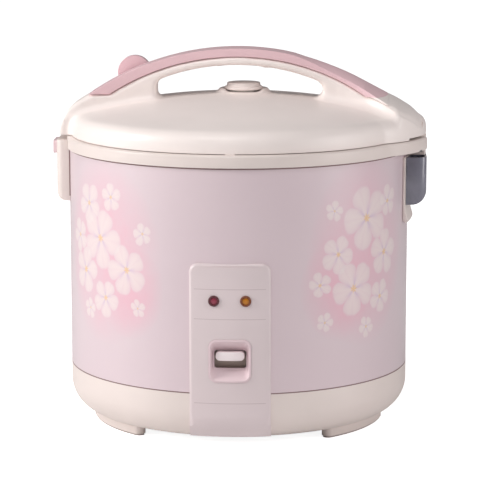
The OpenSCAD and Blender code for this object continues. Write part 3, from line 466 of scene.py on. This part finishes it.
def blossomGroup():
    group = bpy.data.node_groups.new("blossom", "ShaderNodeTree")
    for name, kind in (("Place", "NodeSocketVector"), ("Middle", "NodeSocketVector"),
                       ("Turn", "NodeSocketFloat"), ("Size", "NodeSocketFloat")):
        group.interface.new_socket(name, in_out="INPUT", socket_type=kind)
    for name in ("Cover", "Shade", "Accent", "Stamen"):
        group.interface.new_socket(name, in_out="OUTPUT", socket_type="NodeSocketFloat")
    start, end = group.nodes.new("NodeGroupInput"), group.nodes.new("NodeGroupOutput")
    link = group.links.new

    def maths(*terms, **settings):
        return mathsOf(group, *terms, **settings)

    away = addNode(group, "ShaderNodeVectorMath", operation="SUBTRACT")
    link(start.outputs["Place"], away.inputs[0])
    link(start.outputs["Middle"], away.inputs[1])
    split = addNode(group, "ShaderNodeSeparateXYZ")
    link(away.outputs[0], split.inputs[0])
    u = maths("DIVIDE", split.outputs["X"], start.outputs["Size"])
    v = maths("DIVIDE", split.outputs["Y"], start.outputs["Size"])
    far = maths("SQRT", maths("ADD", maths("MULTIPLY", u, u), maths("MULTIPLY", v, v)))
    around = maths("ADD", maths("ARCTAN2", v, u), start.outputs["Turn"])
    # round petals, with a notch between each two
    wave = maths("ABSOLUTE", maths("COSINE", maths("MULTIPLY", around, blossom["petals"] / 2)))
    bulge = maths("MULTIPLY", maths("POWER", wave, blossom["roundness"]), blossom["notch"])
    reach = maths("ADD", bulge, 1 - blossom["notch"])
    cover = maths("MULTIPLY", maths("SUBTRACT", reach, far), blossom["crispness"], clamp=True)
    # petals are darker at the rim and have a faint line down the middle
    deep = maths("DIVIDE", far, reach)
    vein = maths("MULTIPLY", maths("POWER", wave, blossom["veinThin"]), blossom["vein"])
    between = maths("MULTIPLY", maths("SUBTRACT", 1.0, maths("POWER", wave, 0.5)), blossom["between"])
    tip = maths("MULTIPLY", maths("POWER", deep, 6), blossom["tip"])
    shade = maths("ADD", maths("ADD", vein, between), tip, clamp=True)
    spokes = maths("ABSOLUTE", maths("SINE", maths("MULTIPLY", around, blossom["stamens"] / 2)))
    spokes = maths("MULTIPLY", maths("POWER", spokes, 0.5), blossom["stamenReach"])
    stamen = maths("MULTIPLY", maths("SUBTRACT", spokes, far), blossom["stamenCrispness"], clamp=True)
    # a cool shadow lies where two petals meet near the middle
    inner = maths("SUBTRACT", 1.0, maths("MULTIPLY", deep, blossom["accentReach"]), clamp=True)
    accent = maths("MULTIPLY", maths("MULTIPLY", between, inner), blossom["accentStrength"], clamp=True)
    for value, name in ((cover, "Cover"), (shade, "Shade"), (accent, "Accent"), (stamen, "Stamen")):
        link(value, end.inputs[name])
    return group


def printedShell():
    material, tree, shader = newMaterial("printedShell")
    link = tree.links.new

    def maths(*terms, **settings):
        return mathsOf(tree, *terms, **settings)

    def mixed(share, first, second):
        colours = [linear(flowerPrint[c]) if isinstance(c, str) else c for c in (first, second)]
        return mixOf(tree, share, *colours)

    split = addNode(tree, "ShaderNodeSeparateXYZ")
    link(objectCoordinates(tree), split.inputs[0])
    turn = maths("ARCTAN2", split.outputs["X"], maths("MULTIPLY", split.outputs["Y"], -1.0))
    shift = maths("SUBTRACT", noiseOf(tree, *flowerPrint["wobbleGrain"]), 0.5)
    shift = maths("MULTIPLY", shift, flowerPrint["wobble"])
    along = maths("ADD", maths("MULTIPLY", turn, shellRadius / mm), shift)
    high = maths("ADD", maths("MULTIPLY", split.outputs["Z"], 1 / mm), shift)
    spot = addNode(tree, "ShaderNodeCombineXYZ")
    link(along, spot.inputs[0])
    link(high, spot.inputs[1])
    colour = mixed(noiseOf(tree, *flowerPrint["groundGrain"]), "groundLow", "ground")
    soft = maths("ADD", noiseOf(tree, *flowerPrint["cloudGrain"]), flowerPrint["cloudLift"])
    soft = maths("MULTIPLY", soft, flowerPrint["cloudStrength"])
    for middle, height, wide, tall in flowerPrint["clouds"]:
        du = maths("DIVIDE", maths("SUBTRACT", along, middle), wide)
        dv = maths("DIVIDE", maths("SUBTRACT", high, height), tall)
        far = maths("ADD", maths("MULTIPLY", du, du), maths("MULTIPLY", dv, dv))
        share = maths("MULTIPLY", maths("SUBTRACT", 1.0, far, clamp=True), soft, clamp=True)
        colour = mixed(share, colour, "halo")
    group = blossomGroup()
    for middle, height, size, angle in flowerPrint["blossoms"]:
        flower = addNode(tree, "ShaderNodeGroup", node_tree=group)
        link(spot.outputs[0], flower.inputs["Place"])
        flower.inputs["Middle"].default_value = (middle, height, 0)
        flower.inputs["Turn"].default_value = math.radians(angle)
        flower.inputs["Size"].default_value = size
        petal = mixed(flower.outputs["Shade"], "petal", "petalEdge")
        petal = mixed(flower.outputs["Accent"], petal, "accent")
        petal = mixed(flower.outputs["Stamen"], petal, "stamen")
        cover = maths("MULTIPLY", flower.outputs["Cover"], flowerPrint["petalCover"])
        colour = mixed(cover, colour, petal)
    link(colour, shader.inputs["Base Color"])
    roughOf(tree, shader, noiseOf(tree, *flowerPrint["smears"]), *flowerPrint["rough"])
    coatOf(shader, *flowerPrint["coat"])
    peel = noiseOf(tree, *flowerPrint["peel"])
    bumpOf(tree, shader, peel, flowerPrint["peelStrength"], flowerPrint["peelHeight"])
    print("shell print:", len(flowerPrint["blossoms"]), "blossoms")
    return material


# all the finishes
cream = mouldedPlastic("creamPlastic", (236, 223, 218), rough=0.42, coat=0.1)
# painted light: the lid's parts get a lighter copy of the cream plastic, standing for the stronger light
# that falls on the lid
litLidCream = mouldedPlastic("litLidCream", (252, 241, 237), rough=0.42, coat=0.12)
rosePlastic = mouldedPlastic("rosePlastic", (238, 202, 208), rough=0.42, coat=0.12)
palerRose = mouldedPlastic("palerRose", (234, 211, 216), rough=0.4, coat=0.12)
shutterPlastic = mouldedPlastic("shutterPlastic", (176, 160, 150), rough=0.5, coat=0.05)
# painted shade: the dark colour of the gaps at the seams and beside the latch cover
seamShade = mouldedPlastic("seamShade", (140, 112, 112), rough=0.6, coat=0.0)
redCollar = clearPlastic("redCollar", (92, 34, 44), 0.25, 0.0)
amberCollar = clearPlastic("amberCollar", (122, 62, 26), 0.25, 0.0)
knobPlastic = mouldedPlastic("knobPlastic", (253, 241, 242), rough=0.3)
buttonPlastic = mouldedPlastic("buttonPlastic", (232, 205, 210), rough=0.34)
whitePlastic = mouldedPlastic("whitePlastic", (236, 234, 230), rough=0.4)
blackPlastic = mouldedPlastic("blackPlastic", (32, 32, 33), rough=0.45, coat=0.05)
redLens = clearPlastic("redLens", (158, 58, 80), 0.2, 0.1, glow=0.05)
amberLens = clearPlastic("amberLens", (206, 128, 18), 0.2, 0.1, glow=0.05)
smokePlastic = clearPlastic("smokePlastic", (150, 149, 164), 0.16, 0.3)
lampGlass = clearPlastic("lampGlass", (250, 235, 220), 0.05, 0.85)
plainSteel = sheetMetal("plainSteel", (186, 188, 190), stretch=metal["rolled"])
platedSteel = sheetMetal("platedSteel", (170, 172, 175), 0.25)
springWire = sheetMetal("springWire", (150, 152, 156), 0.22)
satinAluminium = sheetMetal("satinAluminium", (205, 206, 208), 0.38)
brassPins = sheetMetal("brassPins", (205, 178, 110), 0.3)
potCoating = sheetMetal("potCoating", (78, 78, 82), 0.5, metallic=0.25)
blackFerrite = sheetMetal("blackFerrite", (52, 52, 55), 0.6, metallic=0.3)
heaterBand = softRubber("heaterBand", (150, 122, 82), 0.8)
footRubber = softRubber("footRubber", (196, 184, 180))
milkySilicone = softRubber("milkySilicone", (228, 226, 220), 0.5)

paintOfSlot = {
    "cream_plastic": cream, "pink_plastic": rosePlastic, "knob_plastic": knobPlastic,
    "button_plastic": buttonPlastic, "printed_steel": printedShell(), "rubber": footRubber,
    "silicone": milkySilicone, "galvanised_steel": plainSteel, "screw_steel": platedSteel,
    "spring_steel": springWire, "pot_coating": potCoating, "heater_aluminium": satinAluminium,
    "brass": brassPins, "heater_band": heaterBand, "ferrite": blackFerrite,
    "black_plastic": blackPlastic, "white_plastic": whitePlastic, "red_lens": redLens,
    "amber_lens": amberLens, "lamp_glass": lampGlass, "smoke_plastic": smokePlastic,
}
print("materials ready")


def dressNodes():
    for part in frame["record"]["subparts"]:
        node = nodes[part["node"]]
        node.data.materials.clear()
        node.data.materials.append(paintOfSlot[part["material_slot"]])
    print("nodes dressed")


# lid
lid = {
    "drawnDown": 8 * mm,      # the edge is longer while the lid is reworked
    "noseLift": 1.6 * mm,     # the edge stands higher over the hinge
    "noseFrom": 137 * mm,
    "edgeZone": 0.1 * mm,     # what is this near the edge is drawn down with it
    "cutDeep": 50 * mm,
    "swellGrain": 1.6 * mm,   # size of the squares it is rebuilt in, each time
    "drawGrain": 2.0 * mm,
    "lastGrain": 1.6 * mm,
    # fillet between handle and dome: place along the handle, size
    "fillets": [(-60 * mm, 1 * mm), (-45 * mm, 3 * mm), (100 * mm, 3.5 * mm), (126 * mm, 2 * mm)],
    "ventPlace": (3.4 * mm, 12 * mm),
    "ventReach": 26.5 * mm,
    "ventFillet": 0.5 * mm,
    # what is within the first distance of the sharp lid goes back onto it, past the second it stays
    "keep": (0.15 * mm, 0.9 * mm),
    "turned": (0.95, 0.15),   # what faces another way stays too: the cosine it starts at, its fade
    "roundsBefore": 3,
    "roundsAfter": 4,
    "shadeFrom": 50,
}


def voxelled(piece, size):
    remesh = piece.modifiers.new("remesh", "REMESH")
    remesh.mode = "VOXEL"
    remesh.voxel_size = size
    applyModifiers(piece)


def ventDistance(place):
    return math.hypot(place.x - lid["ventPlace"][0], place.y - lid["ventPlace"][1])


def filletAt(place):
    if ventDistance(place) < lid["ventReach"]:
        return lid["ventFillet"]
    along, sizes = zip(*lid["fillets"])
    return float(np.interp(place.x, along, sizes))


def pushOut(piece, share):
    bm = bmesh.new()
    bm.from_mesh(piece.data)
    bm.normal_update()
    moves = [v.normal * filletAt(v.co) * share for v in bm.verts]
    for v, move in zip(bm.verts, moves):
        v.co += move
    bm.to_mesh(piece.data)
    bm.free()


def smoothed(bm, rounds):
    for _ in range(rounds):
        bmesh.ops.smooth_vert(bm, verts=bm.verts, factor=0.5,
                              use_axis_x=True, use_axis_y=True, use_axis_z=True)


def clamped(share):
    return min(max(share, 0), 1)


def eased(share):
    share = clamped(share)
    return share * share * (3 - 2 * share)


# what is cut away below the lid's edge
def belowTheEdge(edge):
    bottom, nose = edge - lid["cutDeep"], edge + lid["noseLift"]
    profile = [(-beyond, bottom), (beyond, bottom), (beyond, nose),
               (lid["noseFrom"], nose), (lid["noseFrom"], edge), (-beyond, edge)]
    bm = bmesh.new()
    face = bm.faces.new([bm.verts.new((x, -beyond, z)) for x, z in profile])
    wall = bmesh.ops.extrude_face_region(bm, geom=[face])["geom"]
    farSide = [g for g in wall if isinstance(g, bmesh.types.BMVert)]
    bmesh.ops.translate(bm, vec=(0, 2 * beyond, 0), verts=farSide)
    bmesh.ops.recalc_face_normals(bm, faces=bm.faces)
    return newPiece("belowTheEdge", bm)


# the handle's broad end over the hinge is crowned across its width
crown = {
    "drop": 5 * mm,           # at its edges
    "starts": 40 * mm,        # along the handle
    "full": 80 * mm,
    "ends": 150 * mm,
    "step": 2 * mm,
    "depth": 9 * mm,          # it fades out this far below the top
    "sideBelow": 4 * mm,      # where the width is taken
}


# the height of the handle's top and its half width, at places along it
def crownTable():
    bm = copyOfNodes("lid_shell", "handle_core", "handle_cover")
    tree = BVHTree.FromBMesh(bm)
    bm.free()
    table = []
    x = crown["starts"]
    while x < crown["ends"]:
        top = tree.ray_cast(Vector((x, 0, 1)), Vector((0, 0, -1)))[0]
        if top is None:
            break
        side = tree.ray_cast(Vector((x, -1, top.z - crown["sideBelow"])), Vector((0, 1, 0)))[0]
        table.append((x, top.z, -side.y))
        x += crown["step"]
    return tuple(zip(*table))


def crowned(verts):
    along, tops, halves = crownTable()
    for v in verts:
        if not crown["starts"] < v.co.x < along[-1]:
            continue
        top, half = np.interp(v.co.x, along, tops), np.interp(v.co.x, along, halves)
        share = eased((v.co.x - crown["starts"]) / (crown["full"] - crown["starts"]))
        deep = eased(1 - (top - v.co.z) / crown["depth"])
        v.co.z -= crown["drop"] * share * deep * min(abs(v.co.y) / half, 1) ** 2


# swelled and drawn back, so that every inner corner is left with a fillet
def makeLid():
    sharp = copyOfNodes("lid_shell", "handle_core")
    edge = min(v.co.z for v in sharp.verts)
    for v in sharp.verts:
        if v.co.z < edge + lid["noseLift"] + lid["edgeZone"]:
            v.co.z = edge - lid["drawnDown"]
    sharpTree = BVHTree.FromBMesh(sharp)
    piece = newPiece("lidMoulding", sharp)
    voxelled(piece, lid["swellGrain"])
    pushOut(piece, 1)
    voxelled(piece, lid["drawGrain"])
    pushOut(piece, -1)
    voxelled(piece, lid["lastGrain"])
    bm = bmesh.new()
    bm.from_mesh(piece.data)
    smoothed(bm, lid["roundsBefore"])
    bm.normal_update()
    near, far = lid["keep"]
    facingSame, fade = lid["turned"]
    for v in bm.verts:
        spot, facing, _, distance = sharpTree.find_nearest(v.co)
        share = eased((distance - near) / (far - near))
        turned = clamped((facingSame - v.normal.dot(facing)) / fade)
        if ventDistance(v.co) < lid["ventReach"]:
            share = turned = 0
        v.co = spot.lerp(v.co, max(share, turned))
    smoothed(bm, lid["roundsAfter"])
    crowned(bm.verts)
    bm.to_mesh(piece.data)
    bm.free()
    cutBy(piece, belowTheEdge(edge))
    smoothShade(piece, lid["shadeFrom"])
    finishPiece(piece, "lid", ["lid_shell", "handle_core"], litLidCream)
    print("lid moulding:", len(piece.data.polygons), "faces")


# the cover on top of the handle
handleCover = {
    "edge": 3.6 * mm,
    "edgeSteps": 5,
    "roundedFrom": 38,        # degrees
    "slices": 20,             # across, so that it can follow the crown
    "heelGap": 0.02 * mm,
}


# the crown carries some of the cover below its end, and that part is cream like the lid
def makeHandleCover():
    piece = roundedCopy("handleCover", "handle_cover", handleCover["edge"],
                        handleCover["edgeSteps"], handleCover["roundedFrom"])
    bm = bmesh.new()
    bm.from_mesh(piece.data)
    low, high = boundsOf("handle_cover")
    for i in range(1, handleCover["slices"]):
        place = low.lerp(high, i / handleCover["slices"])
        bmesh.ops.bisect_plane(bm, geom=bm.verts[:] + bm.edges[:] + bm.faces[:], plane_co=place,
                               plane_no=(0, 1, 0))
    crowned(bm.verts)
    bm.to_mesh(piece.data)
    heel = newPiece("handleHeel", bm)
    end = low.z - handleCover["heelGap"]
    for part, operation in ((piece, "DIFFERENCE"), (heel, "INTERSECT")):
        below = boxPiece("belowTheCover", (-beyond, -beyond, end - beyond), (beyond, beyond, end))
        cutBy(part, below, operation)
        smoothShade(part)
    finishPiece(piece, "lid", ["handle_cover"], rosePlastic)
    finishPiece(heel, "lid", [], litLidCream)
    print("handle cover and heel")


# the panel's rim is rounded over much more than its openings
panel = {
    "shades": ((222, 207, 209), (228, 213, 215)),
    # colour of the painted shade along the moulded creases: the creases are real, their darkness is painted
    "line": (178, 158, 160),
    "creaseShadeStrength": 0.45,
    "rough": (0.36, 0.46),
    "coat": (0.12, 0.25),     # weight, roughness
    "seams": (127.8 * mm, 104.6 * mm, 38.8 * mm),      # heights of faint moulded creases, each painted with a darker line as its shade
    "seamReach": 27.5 * mm,
    "seamHalf": 0.28 * mm,
    "rim": 2.8 * mm,
    "rimSteps": 6,
    "rimZone": 8 * mm,        # edges this near the top, or this near the sides, belong to the rim
    "sideZone": 0.3 * mm,
    "corner": 6.9 * mm,
    "cornerSteps": 8,
    "openings": 0.5 * mm,
    "around": 2 * mm,         # how far the pillow stands out behind the rim
    "inFront": 5 * mm,
    "behind": 40 * mm,
    "below": 10 * mm,
    "pillowGap": 0.02 * mm,
    "frontZone": 0.12 * mm,   # corners this near the front's radius are part of the front
    "frontFacing": 0.5,       # where their face looks outwards: the cosine it takes
}


def panelPlastic():
    material, tree, shader = newMaterial("panelPlastic")
    split = addNode(tree, "ShaderNodeSeparateXYZ")
    tree.links.new(objectCoordinates(tree), split.inputs[0])
    # painted shade: a darker line along each moulded crease
    line = None
    for height in panel["seams"]:
        near = mathsOf(tree, "COMPARE", split.outputs["Z"], height, panel["seamHalf"])
        line = near if line is None else mathsOf(tree, "ADD", line, near, clamp=True)
    inside = mathsOf(tree, "LESS_THAN", mathsOf(tree, "ABSOLUTE", split.outputs["X"]), panel["seamReach"])
    line = mathsOf(tree, "MULTIPLY", line, inside, clamp=True)
    line = mathsOf(tree, "MULTIPLY", line, panel["creaseShadeStrength"], clamp=True)
    plain = rampOf(tree, noiseOf(tree, *plastic["clouds"]), *[linear(c) for c in panel["shades"]])
    tree.links.new(mixOf(tree, line, plain, linear(panel["line"])), shader.inputs["Base Color"])
    roughOf(tree, shader, noiseOf(tree, *plastic["smears"]), *panel["rough"])
    coatOf(shader, *panel["coat"])
    bumpOf(tree, shader, noiseOf(tree, *plastic["peel"]), plastic["peelStrength"], plastic["peelHeight"])
    return material


# the panel's front is part of a cylinder about the body's axis, and is shaded as one
def shadeAsCylinder(piece, radius):
    mesh = piece.data
    normals = [Vector(corner.vector) for corner in mesh.corner_normals]
    for face in mesh.polygons:
        for corner in face.loop_indices:
            place = mesh.vertices[mesh.loops[corner].vertex_index].co
            outward = Vector((place.x, place.y, 0)).normalized()
            onFront = abs(math.hypot(place.x, place.y) - radius) < panel["frontZone"]
            if onFront and face.normal.dot(outward) > panel["frontFacing"]:
                normals[corner] = outward
    mesh.normals_split_custom_set(normals)


# the panel's outline on its own front, drawn in by the given amount
def panelOutline(halfWidth, top, low, inset):
    corner = panel["corner"]
    turns = [math.pi / 2 * i / panel["cornerSteps"] for i in range(panel["cornerSteps"] + 1)]
    right = [(halfWidth - corner + (corner - inset) * math.cos(turn),
              top - corner + (corner - inset) * math.sin(turn)) for turn in turns]
    left = [(-x, z) for x, z in reversed(right)]
    return [(halfWidth - inset, low)] + right + left + [(inset - halfWidth, low)]


# what the panel is kept within, so that its top and sides run out in a round
def panelPillow(front, low, high):
    rim, gap, around = panel["rim"], panel["pillowGap"], panel["around"]
    # how far each outline is drawn in, and the radius or else the flat depth that it lies at
    layers = [(rim, None, -front - panel["inFront"])]
    for step in range(panel["rimSteps"] + 1):
        turn = math.pi / 2 * step / panel["rimSteps"]
        layers.append((rim * (1 - math.sin(turn)) - gap, front + gap - rim * (1 - math.cos(turn)), None))
    layers += [(-around, front - rim, None), (-around, None, panel["behind"] - front)]
    bm = bmesh.new()
    loops = []
    for inset, radius, flat in layers:
        outline = panelOutline(high.x, high.z, low.z - panel["below"], inset)
        loops.append([bm.verts.new((x, flat or -math.sqrt(radius ** 2 - x ** 2), z)) for x, z in outline])
    for near, far in zip(loops, loops[1:]):
        for a, b, c, d in zip(near, near[1:] + near[:1], far[1:] + far[:1], far):
            bm.faces.new((a, b, c, d))
    for end in (loops[0], loops[-1]):
        bm.faces.new(end)
    bmesh.ops.triangulate(bm, faces=bm.faces)
    bmesh.ops.recalc_face_normals(bm, faces=bm.faces)
    return newPiece("panelPillow", bm)


def makePanel():
    bm = flatCopy("control_panel")
    low, high = boundsOf("control_panel")
    front = max(math.hypot(v.co.x, v.co.y) for v in bm.verts)
    openings = []
    for edge in bm.edges:
        middle = (edge.verts[0].co + edge.verts[1].co) / 2
        onRim = abs(middle.x) > high.x - panel["sideZone"] or middle.z > high.z - panel["rimZone"]
        if edge.calc_face_angle(0) > math.radians(sharpFrom) and not onRim:
            openings.append(edge)
    bmesh.ops.bevel(bm, geom=openings, offset=panel["openings"], offset_type="OFFSET", affect="EDGES",
                    segments=2, profile=0.5, material=-1, clamp_overlap=True)
    piece = newPiece("panelMoulding", bm)
    cutBy(piece, panelPillow(front, low, high), "INTERSECT")
    smoothShade(piece)
    shadeAsCylinder(piece, front)
    finishPiece(piece, "base", ["control_panel"], panelPlastic())
    print("panel:", len(piece.data.polygons), "faces")


# a dark collar round each lamp
collar = {
    "inner": 2.5 * mm,
    "outer": 4.3 * mm,
    "slope": 0.3 * mm,        # width of its inner and outer slopes
    "proud": 0.3 * mm,        # in front of the lens
    "innerFoot": 0.35 * mm,
    "outerFoot": 0.2 * mm,
    "deep": 1.2 * mm,
    "steps": 48,
    # lens: finish, slot
    "finishes": {"cook_lamp_lens": (redCollar, "red_lens"), "warm_lamp_lens": (amberCollar, "amber_lens")},
}


def makeLampCollars():
    inner, outer, slope, proud = (collar[key] for key in ("inner", "outer", "slope", "proud"))
    profile = [(inner, collar["innerFoot"]), (inner + slope, -proud), (outer - slope, -proud),
               (outer, collar["outerFoot"]), (outer, collar["deep"]), (inner, collar["deep"])]
    for nodeName, (material, slotName) in collar["finishes"].items():
        low, high = boundsOf(nodeName)
        middle = Vector(((low.x + high.x) / 2, low.y, (low.z + high.z) / 2))
        outline = [(middle.x + out, middle.y + back, middle.z) for out, back in profile]
        piece = turnedRing(nodeName + "Collar", outline, middle, (0, 1, 0), collar["steps"])
        finishPiece(piece, "base", [], material)
    print("lamp collars")


# a plate behind the cook knob closes the slot as the knob goes down
shutter = {"width": 25.6 * mm, "above": 4.4 * mm, "below": 8.6 * mm, "thick": 0.8 * mm, "behind": 0.4 * mm}


def makeShutter():
    low, high = boundsOf("lever_knob")
    halfWidth, back = shutter["width"] / 2, high.y - shutter["behind"]
    makeBox("slotShutter", (-halfWidth, back - shutter["thick"], low.z - shutter["below"]),
            (halfWidth, back, high.z + shutter["above"]), "cook_lever", shutterPlastic)


# painted shadow: dark rings stand for the shade in the gap where the shell stands in the base, and under
# the rim where it closes on it
seam = {
    "proud": 0.06 * mm,
    "depth": 1.2 * mm,
    "base": 0.9 * mm,         # heights of the two lines
    "rim": 1.3 * mm,
    "intoRim": 0.2 * mm,
    "steps": 160,
}


def makeSeamShadow(name, bottom, height):
    profile = [(-seam["depth"], 0), (seam["proud"], 0), (seam["proud"], height), (-seam["depth"], height)]
    outline = [(shellRadius + out, 0, bottom + up) for out, up in profile]
    piece = turnedRing(name, outline, (0, 0, 0), (0, 0, 1), seam["steps"])
    finishPiece(piece, "base", [], seamShade)
    print(name)


def makeSeamShadows():
    low, high = boundsOf("outer_shell")
    makeSeamShadow("baseSeamShadow", low.z - seam["base"] / 2, seam["base"])
    makeSeamShadow("rimSeamShadow", high.z - seam["rim"], seam["rim"] + seam["intoRim"])


# painted shadow: dark strips stand for the shade in the gaps beside the latch cover, from above its foot to
# the top of the shell
jointShadow = {"width": 0.9 * mm, "into": 0.3 * mm, "proud": 0.12 * mm, "above": 4 * mm}


def makeLatchJointShadows():
    low, high = boundsOf("latch_housing")
    shellTop = boundsOf("outer_shell")[1].z
    meets = -math.sqrt(shellRadius ** 2 - high.y ** 2)
    for name, side in (("latchJointShadowFront", low.y), ("latchJointShadowBack", high.y)):
        makeBox(name, (meets - jointShadow["width"], side - jointShadow["proud"], low.z + jointShadow["above"]),
                (meets + jointShadow["into"], side + jointShadow["proud"], shellTop), "base", seamShade)


# the small tab in front under the lid's edge
tab = {"halfWidth": 3.7 * mm, "deep": 1.6 * mm, "tall": 1.0 * mm, "proud": 0.1 * mm, "intoLid": 0.4 * mm}


def makeLidTab():
    edge = boundsOf("lid_shell")[0]
    top = edge.z + tab["intoLid"]
    makeBox("lidTab", (-tab["halfWidth"], edge.y - tab["proud"], top - tab["tall"]),
            (tab["halfWidth"], edge.y + tab["deep"], top), "lid", litLidCream)


# name: node, body, width of its rounded edges in mm, finish, slot
mouldings = {
    "switchFrame": ("switch_bezel", "base", 0.6, palerRose, "pink_plastic"),
    "cookKnob": ("lever_knob", "cook_lever", 1.2, knobPlastic, "knob_plastic"),
    "latchCover": ("latch_housing", "base", 0.5, cream, "cream_plastic"),
    "releaseButton": ("release_button", "release_button", 0.9, buttonPlastic, "button_plastic"),
    "dewCup": ("dew_collector", "dew_collector", 0.5, smokePlastic, "smoke_plastic"),
    "cupBracket": ("collector_bracket", "base", 0.4, cream, "cream_plastic"),
    "rimMoulding": ("rim_ring", "base", 0.5, cream, "cream_plastic"),
    "lockDisc": ("lock_knob", "lock_knob", 2.0, rosePlastic, "pink_plastic"),
    "steamCap": ("steam_cap", "steam_cap", 0.8, litLidCream, "cream_plastic"),
    "inletMoulding": ("power_inlet", "base", 0.6, blackPlastic, "black_plastic"),
    "baseMoulding": ("base_shell", "base", 0.5, cream, "cream_plastic"),
}


def makeMouldings():
    for name, (nodeName, body, edge, material, slotName) in mouldings.items():
        piece = roundedCopy(name, nodeName, edge * mm)
        finishPiece(piece, body, [nodeName], material)
        print(name + ":", len(piece.data.polygons), "faces")


makeStudio()
dressNodes()
makeLid()
makeHandleCover()
makePanel()
makeLampCollars()
makeShutter()
makeSeamShadows()
makeLatchJointShadows()
makeLidTab()
makeMouldings()
